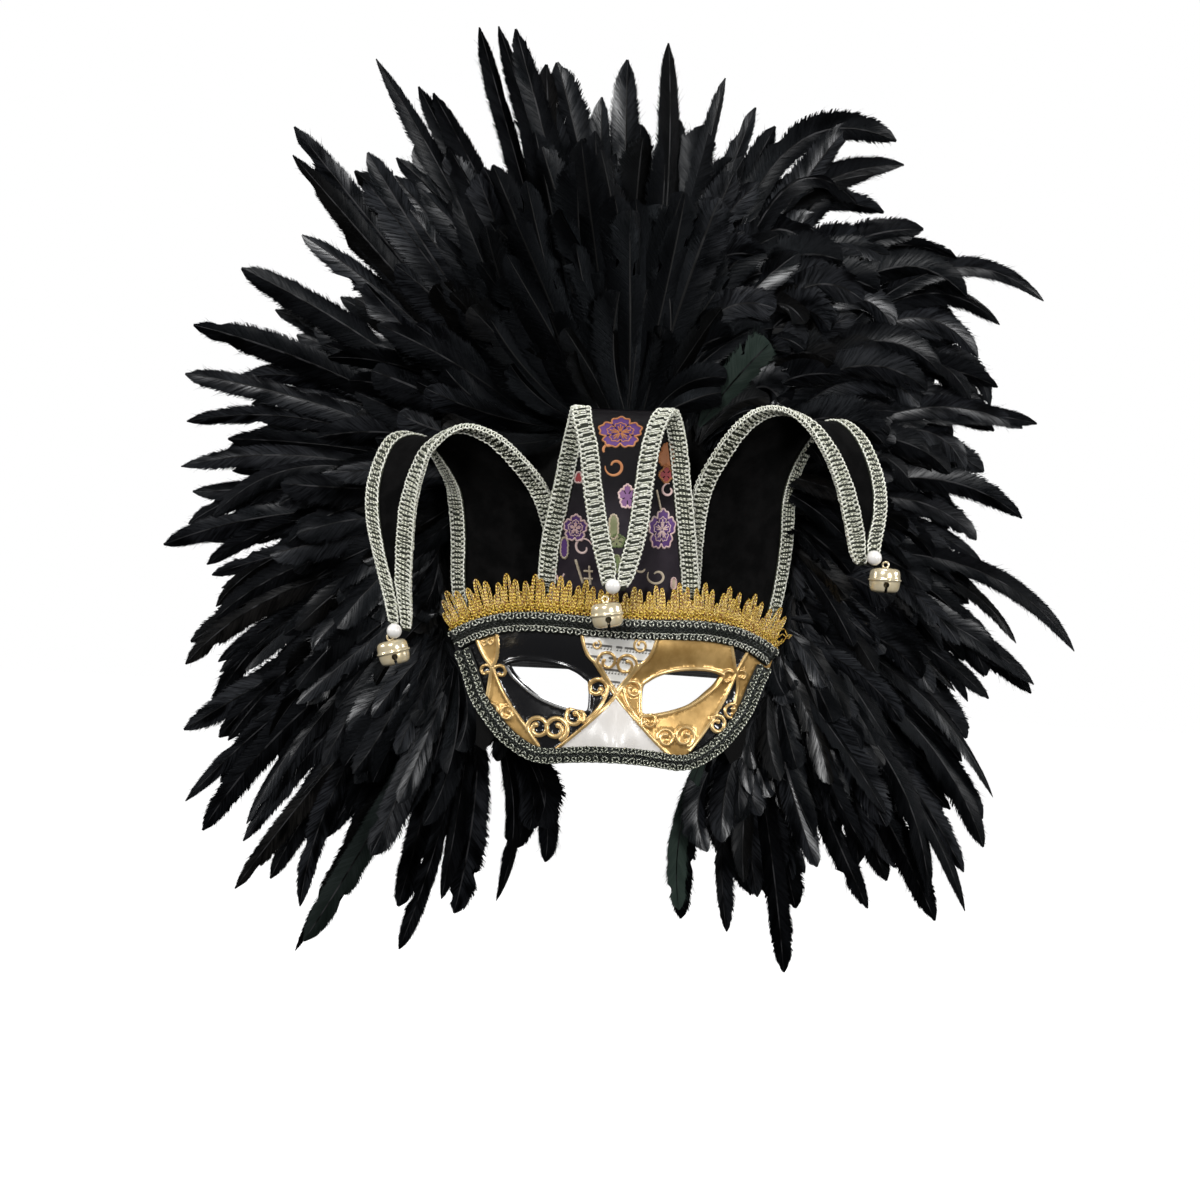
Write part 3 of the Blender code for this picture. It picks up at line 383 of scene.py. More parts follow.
def make_room():
    """A world that the camera sees as white and that lights the mask only a little."""
    world = bpy.data.worlds.new("studio")
    world.use_nodes = True
    nodes, links = world.node_tree.nodes, world.node_tree.links
    seen = nodes.new("ShaderNodeLightPath")
    strength = nodes.new("ShaderNodeMapRange")
    strength.inputs["To Min"].default_value = ROOM_LIGHT
    strength.inputs["To Max"].default_value = 1.0
    links.new(seen.outputs["Is Camera Ray"], strength.inputs["Value"])
    links.new(strength.outputs[0], nodes["Background"].inputs["Strength"])
    nodes["Background"].inputs["Color"].default_value = (1, 1, 1, 1)
    bpy.context.scene.world = world
    bpy.context.scene.view_settings.view_transform = "Standard"


def make_floor():
    mesh = bpy.data.meshes.new("floor")
    signs = ((-1, -1), (1, -1), (1, 1), (-1, 1))
    mesh.from_pydata([(x * FLOOR_REACH, y * FLOOR_REACH, 0) for x, y in signs], [], [(0, 1, 2, 3)])
    floor = bpy.data.objects.new("floor", mesh)
    floor.location.z = -FLOOR_DEPTH * MM
    bpy.context.scene.collection.objects.link(floor)
    floor.visible_diffuse = floor.visible_glossy = False
    paper = Finish("pale floor", base_color=grey(0.4), roughness=0.9, emission_strength=1.0,
                   emission_color=grey(1.0))
    mesh.materials.append(paper.material)


make_lamps()
make_room()
make_floor()

# %% [markdown]
# ## The finishes of the half mask
# The mask is moulded once and then painted in fields: black lacquer, satin gold, white, and a
# field of old music paper. Gold outlines stand up between the fields, so each field can be a
# material of its own and its edge falls under a raised line.


# %% Paints
def gold_paint(name, light, dark, roughness):
    made = Finish(name, metallic=0.6, coat_weight=0.25, coat_roughness=0.25)
    brush = made.noise(made.place(), 0.07, 4, 0.6)
    grain = made.noise(made.place(), 4.0, 2)
    made.vary("Base Color", made.mix(brush.step(0.3, 0.7), dark, light))
    made.vary("Roughness", brush * 0.12 + grain * 0.1 + roughness)
    made.bump(grain * 0.3 + brush, 0.10, 0.6)
    return made.material


SCORE_PITCH = 6.2      # between one staff and the next
STAFF_SPACING = 0.7    # between the lines of a staff
STAFF_REACH, STAFF_LINE = 1.6, 0.07  # half the height of a staff, half the width of a line
NOTE_PITCH = 1.7       # between one note and the next


def score_paper():
    """White paper with printed staves and a few round notes."""
    made = Finish("score paper", roughness=0.5, coat_weight=0.2, coat_roughness=0.3)
    x, _, z = made.parts(made.place())
    row = z + x * 0.05
    within = row.math("FLOORED_MODULO", SCORE_PITCH) - SCORE_PITCH / 2
    staff = (row.math("FLOORED_MODULO", STAFF_SPACING) - STAFF_SPACING / 2).absolute()
    on_staff = within.absolute().math("LESS_THAN", STAFF_REACH)
    lines = staff.math("LESS_THAN", STAFF_LINE) * on_staff * 0.45
    pick = made.noise(made.spot(x * 0.21, (row / SCORE_PITCH).math("FLOOR") * 3.7), 1.0, 0)
    phrase = pick.step(0.38, 0.41)
    beam = (within - 0.9).absolute().math("LESS_THAN", 0.6) * phrase
    beat = x.math("FLOORED_MODULO", NOTE_PITCH) - NOTE_PITCH / 2
    upright = (beat - 0.3).absolute().math("LESS_THAN", 0.13)
    stem = upright * within.absolute().math("LESS_THAN", 1.0) * phrase
    head = (beat * beat + (within + 0.9) * (within + 0.9) * 1.8).math("LESS_THAN", 0.2)
    ink = (lines + beam + stem + head * phrase).clamp()
    stain = made.noise(made.place(), 0.25, 3)
    paper = made.mix(stain, (0.80, 0.78, 0.72, 1), (0.88, 0.87, 0.84, 1))
    made.vary("Base Color", made.mix(ink * 0.9, paper, (0.05, 0.045, 0.04, 1)))
    return made.material


PAINTS = [
    mottled("black lacquer", (0.12, 3), rough=(0.16, 0.14), bump=(0.25, 0.5),
            base_color=(0.006, 0.006, 0.007, 1), coat_weight=0.6, coat_roughness=0.06),
    gold_paint("satin gold paint", (0.74, 0.47, 0.17, 1), (0.50, 0.29, 0.085, 1), 0.24),
    mottled("white paint", (0.15, 3), ((0.68, 0.65, 0.61, 1), (0.78, 0.75, 0.72, 1)),
            rough=(0.15, 0.3), bump=(0.15, 0.5), coat_weight=0.3, coat_roughness=0.2),
    score_paper(),
    gold_paint("raised gold line", (0.92, 0.66, 0.31, 1), (0.64, 0.40, 0.14, 1), 0.2),
    mottled("silver line", (0.6, 2), ((0.28, 0.28, 0.28, 1), (0.5, 0.5, 0.49, 1)),
            rough=(0.15, 0.2), metallic=0.6),
    mottled("bare black plastic", (1.5, 3), rough=(0.2, 0.45), bump=(0.06, 0.5),
            base_color=(0.02, 0.02, 0.021, 1)),
]
BLACK, GOLD, WHITE, SCORE, GOLD_LINE, SILVER_LINE, INSIDE = range(7)
print("paints:", len(PAINTS))

# %% [markdown]
# ## The face surface
# A half mask is one flowing surface: it wraps back to the temples, rises over the nose and the
# brow and sinks round the eyes. Written as a formula of x and z, everything that lies on the mask
# can be placed by it: the raised lines, the braid and the lace.

# %% Sizes of the half mask
WALL = 1.8
HALF_WIDTH = 88.0
TEMPLE_DEPTH, WRAP_POWER = 47.0, 2.1
NOSE_RISE, NOSE_TOP, NOSE_LENGTH = 19.0, 4.0, 34.0
NOSE_SPREADS = [(0.72, 10.5), (0.28, 24.0)]  # share of the rise, half width
BROW_RISE, BROW_FOOT, BROW_HEIGHT, BROW_SPREAD = 8.0, -2.0, 28.0, 60.0
SOCKET_SINK, SOCKET_PLACE, SOCKET_SPREAD = 3.5, (34.0, 2.0), (19.0, 12.0)
CHEEK_RISE, CHEEK_PLACE, CHEEK_SPREAD = 2.5, (44.0, -24.0), (20.0, 14.0)
LEAN_BACK, LEAN_FROM = 0.10, 38.0
TOP_EDGE = [  # x, z
    (0, 38.0), (16, 38.3), (30, 38.8), (46, 38.9), (62, 37.0), (77, 32.0), (HALF_WIDTH, 25.5),
]
SIDE_EDGE = [  # x, z
    (HALF_WIDTH, 25.5), (85.5, 16), (80.5, 4), (75.5, -9), (68, -20.5), (57.5, -31.5),
    (46, -38.8), (36, -41.2), (22, -40), (9.5, -38.7), (0, -38.2),
]
EYE = [  # x, upper z, lower z, from the outer corner to the inner end
    (57.0, 10.0, 10.0), (53.5, 11.2, 5.0), (49.0, 12.0, 1.0), (44.0, 12.2, -3.0),
    (38.0, 11.9, -6.6), (30.0, 10.7, -9.4), (22.5, 8.2, -11.2), (17.5, 5.0, -11.9),
    (14.6, 1.5, -10.8),
]


# %% The surface as a formula
def mound(side, z, place, spread):
    return np.exp(-(((side - place[0]) / spread[0]) ** 2) - ((z - place[1]) / spread[1]) ** 2)


def eased(share):
    share = np.clip(share, 0, 1)
    return share * share * (3 - 2 * share)


def raw_face_y(x, z):
    side = np.abs(x)
    wrap = TEMPLE_DEPTH * (side / HALF_WIDTH) ** WRAP_POWER
    across = sum(part * np.exp(-((side / spread) ** 2)) for part, spread in NOSE_SPREADS)
    nose = NOSE_RISE * eased((NOSE_TOP - z) / NOSE_LENGTH) * across
    brow = BROW_RISE * eased((z - BROW_FOOT) / BROW_HEIGHT) * np.exp(-((side / BROW_SPREAD) ** 2))
    socket = SOCKET_SINK * mound(side, z, SOCKET_PLACE, SOCKET_SPREAD)
    cheek = CHEEK_RISE * mound(side, z, CHEEK_PLACE, CHEEK_SPREAD)
    lean = LEAN_BACK * np.maximum(z - LEAN_FROM, 0)
    return wrap - nose - brow + socket - cheek + lean


def face_y(x, z):
    return raw_face_y(x, z) - raw_face_y(0.0, 0.0) - WALL


def face_out(flat):
    """Outward directions of the surface at flat x and z."""
    x, z = np.asarray(flat, float).reshape(-1, 2).T
    step = 0.05
    slope_x = (face_y(x + step, z) - face_y(x - step, z)) / (2 * step)
    slope_z = (face_y(x, z + step) - face_y(x, z - step)) / (2 * step)
    return unit(np.stack([slope_x, -np.ones_like(x), slope_z], axis=1))


def on_face(flat, offset):
    """Points over the outer surface, at flat x and z and a distance in front of it."""
    flat = np.asarray(flat, float).reshape(-1, 2)
    x, z = flat.T
    return np.stack([x, face_y(x, z), z], axis=1) + face_out(flat) * np.reshape(offset, (-1, 1))


def mirrored(rows):
    rows = np.asarray(rows, float)
    return np.vstack([rows[::-1][:-1] * (-1, 1), rows])


def top_path(count=181):
    return smooth_path(mirrored(TOP_EDGE), count)


def lower_path(count=281):
    half = np.asarray(SIDE_EDGE, float)
    return smooth_path(np.vstack([half, half[::-1][1:] * (-1, 1)]), count)


def eye_loop(sign, count):
    """The edge of an eye opening: smooth all round but for its outer corner."""
    rows = np.asarray(EYE, float)
    around = np.vstack([rows[:, [0, 1]], rows[::-1][:, [0, 2]]]) * (sign, 1)
    return smooth_path(around, count + 1)[:-1]


print("temple depth:", round(float(face_y(HALF_WIDTH, 20.0)), 1), "mm")

# %% [markdown]
# ## The half mask
# The raised lines are part of the moulding, so they belong in the mesh and not in a bump map. The
# flat outline is filled with triangles that crowd along every line, and each point is then lifted
# onto the surface. A line's height follows its distance, with a round top like piped paint.

# %% Raised lines
LINE_HALF_WIDTH = 1.0
LINE_HEIGHT = 1.1      # of a ridge whose half width is 1 mm
RIM_PLACE, RIM_HALF_WIDTH = 1.2, 1.15  # beside the edge of an eye opening
DROP = 1.25            # a scroll ends in a drop, this much wider than its ridge
MIRRORED_LINES = [  # start x, z, bend x, z, end x, z
    (19.9, 29.2, 18.2, 17.8, 12.6, 14.6),
    (12.6, 14.6, 7.6, 8.0, 0.9, -2.2),
    (9.8, 13.4, 6.4, 7.0, 0.3, -0.4),
    (4.6, 0.0, 4.4, -6.6, 14.6, -17.0),
    (0.0, -3.2, 9.5, -15.5, 31.0, -34.2),
]
LINES = [  # start x, z, bend x, z, end x, z
    (-75.2, 25.4, -71.5, 13.5, -65.3, 8.2),
    (-64.8, 28.0, -61.0, 15.0, -65.3, 8.2),
    (-65.6, 7.4, -66.4, -2.0, -67.6, -12.0),
    (-65.0, 7.4, -60.4, -4.0, -54.4, -12.2),
    (-54.4, -12.2, -46.5, -22.0, -39.0, -32.0),
    (61.2, 28.8, 63.4, 18.0, 66.0, 9.0),
    (66.0, 9.0, 67.6, 3.0, 65.6, -4.0),
    (72.6, 25.8, 66.6, 16.0, 63.4, 6.4),
    (63.4, 6.4, 56.5, -11.0, 41.3, -30.4),
]
SCROLLS = [  # centre x, z, radius, turns, start angle, hand, half width
    (-5.7, 14.9, 4.7, 1.1, 198, -1, 0.85),
    (4.6, 13.7, 5.0, 1.25, -8, 1, 0.85),
    (-11.9, 23.4, 2.2, 0.9, 60, -1, 0.6),
    (11.4, 24.3, 3.3, 1.1, 130, 1, 0.7),
    (-9.8, 0.3, 5.0, 1.1, -48, 1, 1.3),
    (8.8, 0.5, 4.4, 1.15, 200, -1, 1.1),
    (-39.8, -22.6, 5.2, 1.2, 195, -1, 1.25),
    (-30.3, -22.5, 5.7, 1.35, -62, 1, 1.3),
    (-20.9, -15.8, 4.8, 1.3, -25, 1, 1.2),
    (17.9, -15.8, 4.4, 1.15, 235, -1, 1.1),
    (27.6, -24.1, 4.4, 1.3, 185, -1, 1.1),
    (38.0, -23.1, 5.2, 1.3, -62, 1, 1.2),
    (60.8, 9.1, 3.7, 0.72, 50, 1, 0.85),
    (68.6, 10.6, 2.8, 0.7, 140, -1, 0.7),
    (55.9, -16.0, 4.5, 1.15, 128, -1, 1.1),
    (64.2, -8.9, 4.0, 1.05, 62, 1, 0.9),
    (-68.5, 5.8, 2.9, 0.75, 45, 1, 0.85),
    (-61.0, 5.6, 3.3, 0.7, 140, -1, 0.9),
    (-66.7, 21.6, 1.8, 0.9, 90, 1, 0.55),
    (-70.4, 20.6, 1.6, 0.8, 60, -1, 0.5),
    (-64.1, -14.7, 3.0, 0.95, 130, -1, 0.8),
    (-55.8, -16.2, 3.5, 1.05, 52, 1, 0.9),
]
SCROLL_START = 1.06    # reach of a scroll's outer end, as a share of its radius
SCROLL_CLOSING = 0.68  # of the radius that a scroll loses on its way in


def bend_curve(row):
    start, bend, end = (np.array(row[i:i + 2], float) for i in (0, 2, 4))
    t = np.linspace(0, 1, 30)[:, None]
    return (1 - t) ** 2 * start + 2 * t * (1 - t) * bend + t**2 * end


def scroll_curve(row, count=56):
    x, z, radius, turns, start, hand = row[:6]
    t = np.linspace(0, 1, count)
    turn = np.radians(start + hand * 360 * turns * t)
    reach = radius * (SCROLL_START - SCROLL_CLOSING * t**1.8)
    return np.stack([x + reach * np.cos(turn), z + reach * np.sin(turn)], axis=1)


def raised_lines():
    """Every raised line as a flat path and its half width. The two eye rims come last."""
    found = [(bend_curve(row), LINE_HALF_WIDTH) for row in LINES]
    for row in MIRRORED_LINES:
        found += [(bend_curve(row), LINE_HALF_WIDTH), (bend_curve(row) * (-1, 1), LINE_HALF_WIDTH)]
    for row in SCROLLS:
        curve = scroll_curve(row)
        found += [(curve, row[6]), (curve[-3:], row[6] * DROP)]
    for sign in (-1, 1):
        found.append((loop_outside(eye_loop(sign, 200), RIM_PLACE), RIM_HALF_WIDTH))
    return found


# %% Flat geometry
def distance_to(points, path):
    """Distance from each point to a path in the flat."""
    a, along = path[:-1], np.diff(path, axis=0)
    nearest = np.full(len(points), 1e9)
    for start in range(0, len(points), 4000):
        some = points[start:start + 4000]
        share = ((some[:, None] - a) * along).sum(2) / np.maximum((along**2).sum(1), 1e-12)
        gap = some[:, None] - a - np.clip(share, 0, 1)[..., None] * along
        nearest[start:start + 4000] = np.sqrt((gap**2).sum(2).min(axis=1))
    return nearest


def inside(points, loop):
    """Which points lie within a loop, by counting crossings."""
    x, z = np.asarray(points, float).T
    found = np.zeros(len(points), bool)
    for (x0, z0), (x1, z1) in zip(loop, np.roll(loop, -1, axis=0)):
        if z0 != z1:
            found ^= ((z0 > z) != (z1 > z)) & (x < (x1 - x0) * (z - z0) / (z1 - z0) + x0)
    return found


def loop_outside(loop, gap):
    """A closed path that runs a little outside a loop."""
    along = np.roll(loop, -1, axis=0) - np.roll(loop, 1, axis=0)
    out = unit(np.stack([along[:, 1], -along[:, 0]], axis=1))
    if inside(loop[:1] + out[:1], loop)[0]:
        out = -out
    moved = loop + out * gap
    return np.vstack([moved, moved[:1]])


def triangulate(outline, holes, extra):
    """Points and triangles that fill an outline less its holes, and each loop's point numbers."""
    points, edges, places = [], [], []
    for loop in [outline, *holes]:
        start = len(points)
        points.extend(loop)
        places.append(range(start, len(points)))
        edges += [(start + i, start + (i + 1) % len(loop)) for i in range(len(loop))]
    points.extend(extra)
    found = delaunay_2d_cdt([tuple(p) for p in points], edges, [], 0, 1e-5, True)
    flat = np.array([tuple(p) for p in found[0]], float)
    new_place = {old: new for new, olds in enumerate(found[3]) for old in olds}
    triangles = np.array(found[2])
    middles = flat[triangles].mean(axis=1)
    keep = inside(middles, outline)
    for hole in holes:
        keep &= ~inside(middles, hole)
    return flat, triangles[keep], [[new_place[i] for i in place] for place in places]


def thinned(points, spacing):
    """The points, less any that share a small square with an earlier one."""
    _, first = np.unique(np.round(points / spacing).astype(int), axis=0, return_index=True)
    return points[np.sort(first)]


RIDGE_SHARES = np.array([-1.06, -0.92, -0.68, -0.35, 0, 0.35, 0.68, 0.92, 1.06])


def beside_line(line, half_width):
    """Points on a ridge and on both of its sides, and a round end."""
    offsets = RIDGE_SHARES * half_width
    turn = np.linspace(0, 2 * math.pi, 14, endpoint=False)
    ring = np.stack([np.cos(turn), np.sin(turn)], axis=1)
    ends = [line[end] + ring * reach for end in (0, -1) for reach in offsets[offsets > 0]]
    run = run_of(line)
    line = columns_at(line, run, np.linspace(0, run[-1], max(4, int(run[-1] / 0.6))))
    along = unit(np.gradient(line, axis=0))
    side = np.stack([along[:, 1], -along[:, 0]], axis=1)
    return np.concatenate([line + side * offset for offset in offsets] + ends)


# %% Painted fields
def curve_through(rows):
    return np.vstack([bend_curve(row) for row in rows])


def painted_fields():
    """Each field as a paint and a loop. A later field covers an earlier one."""
    right_v = curve_through(MIRRORED_LINES[:2])
    left_v = right_v * (-1, 1)
    right_nose = bend_curve(MIRRORED_LINES[4])
    half = HALF_WIDTH + 4
    gold_half = [(0.0, 45), (half, 45), (half, -48), (0.0, -48)]
    score = np.vstack([[(-19.5, 45)], left_v, right_v[::-1], [(19.5, 45)]])
    nose = np.vstack([right_nose * (-1, 1), [(-40.0, -48), (40.0, -48)], right_nose[::-1]])
    upper_wedge = np.vstack([[(-78.0, 40)], bend_curve(LINES[0]), bend_curve(LINES[1])[::-1],
                             [(-64.0, 40)]])
    lower_wedge = np.vstack([bend_curve(LINES[2]), [(-68.5, -30), (-40.0, -48)],
                             bend_curve(LINES[4])[::-1], bend_curve(LINES[3])[::-1]])
    stroke_one = curve_through(LINES[5:7])
    stroke_two = curve_through(LINES[7:9])
    black_top = np.vstack([stroke_one[:20], stroke_two[:18][::-1], [(71.0, 40), (62.0, 40)]])
    black_low = np.vstack([stroke_one[24:], [(63.5, -12.0), (62.0, -48), (40.0, -48)],
                           stroke_two[24:][::-1]])
    return [(GOLD, gold_half), (BLACK, black_top), (BLACK, black_low), (GOLD, upper_wedge),
            (GOLD, lower_wedge), (SCORE, score), (WHITE, nose)]


# %% Points and paints of the moulding
FRONT_GRID = (-86, 87, -40, 39, 1.7)  # x from, to, z from, to, spacing
BACK_GRID = (-84, 85, -38, 37, 6.0)
FRONT_CLEARANCE, BACK_CLEARANCE = 0.25, 2.0  # from the points to the edges
LINE_CLEARANCE = 0.5   # from the grid to the lines
CROWDING = 0.22        # least spacing of the points beside the lines
RIDGE_PAINT, LID_PAINT = RIDGE_SHARES[-2], RIDGE_SHARES[-3]  # how far the paint of a ridge goes
LID_END = -22.0        # x where the silver of the left eye's lower lid ends
LID_TOP = (-57.0, 9.0, -0.32)  # x, z and slope of the line that it stays below


def grid_points(x_from, x_to, z_from, z_to, spacing):
    return np.array([(x, z) for x in np.arange(x_from, x_to, spacing)
                     for z in np.arange(z_from, z_to, spacing)])


def ridge_distances(points, lines):
    """Distance from each line, as a share of its half width."""
    return np.array([distance_to(points, line) / half for line, half in lines])


def lifted(flat, lines):
    """Points on the front of the mask, raised along the lines."""
    near = np.clip(ridge_distances(flat, lines), 0, 1)
    heights = np.array([LINE_HEIGHT * half**0.8 for _, half in lines])[:, None]
    rise = np.sqrt(np.maximum(1 - near ** 2, 0)) ** 1.2 * heights
    return on_face(flat, rise.max(axis=0))


def filled(outline, eyes, points, clearance):
    """Triangles between the outline and the eyes, through the points that are clear of both."""
    edges = [np.vstack([loop, loop[:1]]) for loop in (outline, *eyes)]
    clear = inside(points, outline)
    for eye in eyes:
        clear &= ~inside(points, eye)
    clear &= np.min([distance_to(points, edge) for edge in edges], axis=0) > clearance
    return triangulate(outline, eyes, points[clear])


def paint_at(middles, lines):
    """The paint of each triangle: its field's, or its line's. The last two lines are the rims."""
    paint = np.full(len(middles), BLACK)
    for colour, loop in painted_fields():
        paint[inside(middles, np.asarray(loop, float))] = colour
    over = ridge_distances(middles, lines)
    on_line = over[:-2].min(axis=0) < RIDGE_PAINT
    left_rim = (over[-2] < RIDGE_PAINT) & ~on_line
    x, z = middles.T
    lid = (over[-2] < LID_PAINT) & ~on_line & (x < LID_END)
    lid &= z < LID_TOP[1] + LID_TOP[2] * (x - LID_TOP[0])
    paint[on_line | (over[-1] < RIDGE_PAINT)] = GOLD_LINE
    paint[left_rim] = BLACK
    paint[lid] = SILVER_LINE
    return paint


# %% The moulding
def make_half_mask():
    outline = np.vstack([top_path()[:-1], lower_path()[:-1]])
    eyes = [eye_loop(sign, 150) for sign in (-1, 1)]
    lines = raised_lines()
    crowded = np.concatenate([beside_line(line, half) for line, half in lines])
    grid = grid_points(*FRONT_GRID)
    gap = np.min([distance_to(grid, line) - half for line, half in lines], axis=0)
    points = np.concatenate([thinned(crowded, CROWDING), grid[gap > LINE_CLEARANCE]])
    flat, triangles, rims = filled(outline, eyes, points, FRONT_CLEARANCE)
    front = lifted(flat, lines)
    paint = paint_at(flat[triangles].mean(axis=1), lines)

    piece = Piece("half_mask", PAINTS, ["face_shell"], "shell")
    for colour in range(INSIDE):
        chosen = triangles[paint == colour]
        if len(chosen):
            used, packed = np.unique(chosen, return_inverse=True)
            piece.add(front[used], [packed.reshape(-1, 3)], colour, flat[used])

    back_flat, back_triangles, back_rims = filled(outline, eyes, grid_points(*BACK_GRID),
                                                  BACK_CLEARANCE)
    back = on_face(back_flat, -WALL)
    piece.add(back, [back_triangles[:, ::-1]], INSIDE, back_flat)
    for number, (rim, back_rim) in enumerate(zip(rims, back_rims)):
        rows = np.stack([front[rim + rim[:1]], back[back_rim + back_rim[:1]]])
        strip(piece, rows[::-1] if number == 0 else rows, (INSIDE, BLACK, GOLD)[number])
    piece.build()


make_half_mask()

# %% [markdown]
# ## Gimp braid
# The braid on the edge is a dark tape that carries two rows of looped cord. A loop that runs on
# by less than its own width crosses itself, and a slow rise and fall lets each strand pass over
# the last. The silver and green threads of the cord are stripes that the shader winds round it.


# %% Thread finishes
# Painted glints: where a noise is high, a metallic thread is bright, and elsewhere it is dull.
GLINT_LEVELS = (0.32, 0.50)    # noise levels between which a thread goes from dull to bright


def twisted_cord(name, light, dark, pitch, metallic=0.7, roughness=0.3, dark_share=0.35):
    """Two colours of thread wound round a cord, with a groove between the turns, and painted glints
    that leave stretches of it dull.
    """
    made = Finish(name, metallic=metallic, coat_weight=0.9, coat_roughness=0.2)
    turn, along = made.flat()
    wind = ((turn + along / pitch) * (2 * math.pi)).sine()
    glint_noise = made.noise(made.place(), 0.75, 2, 0.7)
    thread = (wind * 0.5 + 0.5).step(dark_share - 0.1, dark_share + 0.2)
    # The thread shows its light colour only where the glint noise is high: painted glints.
    made.vary("Base Color", made.mix(thread * glint_noise.step(*GLINT_LEVELS), dark, light))
    made.vary("Roughness", glint_noise * 0.2 + (roughness - 0.05))
    made.bump(wind, 0.16, 0.9)
    return made.material


def dark_tape(name, colour):
    return mottled(name, (3.0, 3), bump=(0.12, 0.8), base_color=colour, roughness=0.7)


SILVER_GREEN = twisted_cord("silver green cord", (1.0, 1.0, 0.90, 1), (0.50, 0.51, 0.36, 1), 1.9,
                            metallic=0.02, roughness=0.25, dark_share=0.02)
SOFT_GREEN = twisted_cord("soft green cord", (0.98, 0.98, 0.82, 1), (0.05, 0.06, 0.025, 1), 1.9,
                          metallic=0.02, roughness=0.28, dark_share=0.26)
EDGE_CORD = twisted_cord("gold green cord", (1.0, 1.0, 0.86, 1), (0.014, 0.024, 0.012, 1), 2.6,
                         metallic=0.02, roughness=0.22, dark_share=0.56)
LOWER_CORD = twisted_cord("deep green cord", (0.95, 0.97, 0.78, 1), (0.010, 0.018, 0.010, 1), 2.2,
                          metallic=0.02, roughness=0.22, dark_share=0.72)
DARK_CORD = twisted_cord("dark green cord", (0.035, 0.045, 0.032, 1), (0.004, 0.006, 0.004, 1), 1.0)
TAPE = dark_tape("black tape", (0.003, 0.005, 0.003, 1))
OLIVE_TAPE = dark_tape("olive tape", (0.014, 0.017, 0.007, 1))

# %% Sizes of the edge braid
TOP_BRAID_WIDTH, LOWER_BRAID_WIDTH = 11.0, 8.6
BRAID_GAP = 0.7
TAPE_THICKNESS = 0.8
TAPE_SECTION = [  # share of the width, share of the thickness
    (0.02, 0.1), (0.1, 0.9), (0.5, 0.55), (0.9, 0.9), (0.98, 0.1), (0.98, 0.0), (0.5, 0.0),
    (0.02, 0.0),
]
BRAID_CORD = 0.46      # radius
LOOP_PITCH = 3.9
LOOP_ROWS = [0.2, 0.8]  # share of the width
LOOP_HALF_WIDTH = 1.4
LOOP_BACK = 2.1        # how far a loop swings back along the braid
LOOP_WANDER = 0.14     # spread of the loops' places
TAPE_STEP = 2.0        # between the stations of the tape
MIDDLE_CORD = 0.28     # radius of the two dark cords along the middle
MIDDLE_PITCH = 2.4     # of their twist
MIDDLE_APART, MIDDLE_SWING = 0.06, 0.04  # shares of the width
LACE_TUCK, LACE_THICKNESS = 5.5, 1.0
GAP = 0.35             # between pieces that are made apart


def side_normals(line):
    along = unit(np.gradient(line, axis=0))
    return np.stack([-along[:, 1], along[:, 0]], axis=1)


def inward(path):
    """Directions from an edge into the mask, evened out so that the inner row never folds."""
    normals = side_normals(path)
    middle = path[len(path) // 2]
    if ((middle + normals[len(path) // 2]) ** 2).sum() > (middle**2).sum():
        normals = -normals
    for _ in range(len(path) // 6):
        normals[1:-1] = (normals[:-2] + 2 * normals[1:-1] + normals[2:]) / 4
    return unit(normals)


# %% Loops of cord along an edge
def along_edge(path, into, run, places, depths):
    """Flat points at places along an edge and depths into the mask."""
    return columns_at(path, run, places) + columns_at(into, run, places) * depths[:, None]


def looped_row(piece, path, into, middle, base, luck):
    """A row of loops round the depth of its middle. base is the height under the tape."""
    run = run_of(path)
    loops = int(run[-1] / LOOP_PITCH)
    turn = np.linspace(0, loops, loops * 16 + 1)
    angle = 2 * math.pi * turn + luck.uniform(0, 6)
    wander = np.interp(turn, np.arange(loops + 1), luck.normal(0, LOOP_WANDER, loops + 1))
    places = turn * run[-1] / loops - LOOP_BACK * np.sin(angle) + wander
    depths = middle + LOOP_HALF_WIDTH * np.cos(angle) * (1 + wander * 0.6)
    places = np.clip(places, 0, run[-1])
    flat = along_edge(path, into, run, places, depths)
    height = base(depths) + TAPE_THICKNESS + BRAID_CORD + 0.3 * np.sin(angle + 0.8)
    cord(piece, on_face(flat, height), face_out(flat), BRAID_CORD)


def make_edge_braid(name, path, width, base, loops, luck):
    piece = Piece(name, [loops, TAPE, DARK_CORD], [name], "braid")
    into, run = inward(path), run_of(path)
    places = np.linspace(0, run[-1], int(run[-1] / TAPE_STEP))
    rows = []
    for share, height in TAPE_SECTION:
        depths = np.full(len(places), share * width)
        flat = along_edge(path, into, run, places, depths)
        rows.append(on_face(flat, base(depths) + height * TAPE_THICKNESS))
    strip(piece, np.stack(rows, axis=1), 1, closed=True)
    for share in LOOP_ROWS:
        looped_row(piece, path, into, width * share, base, luck)
    turn = np.linspace(0, run[-1] / MIDDLE_PITCH, int(run[-1] / MIDDLE_PITCH * 8))
    for side in (-1, 1):
        angle = 2 * math.pi * turn * side
        depths = width * (0.5 + MIDDLE_APART * side + MIDDLE_SWING * np.sin(angle))
        flat = along_edge(path, into, run, turn * MIDDLE_PITCH, depths)
        height = base(depths) + TAPE_THICKNESS + 0.1 + 0.15 * np.cos(angle)
        cord(piece, on_face(flat, height), face_out(flat), MIDDLE_CORD, 2, sides=4)
    piece.build()


def over_lace(depths):
    """The top braid climbs over the lace that is tucked behind it."""
    past = np.clip((depths - LACE_TUCK - 1.0) / 1.5, 0, 1)
    return BRAID_GAP + (LACE_THICKNESS + GAP) * (1 - past)


def flat_base(depths):
    return np.full(len(depths), BRAID_GAP)


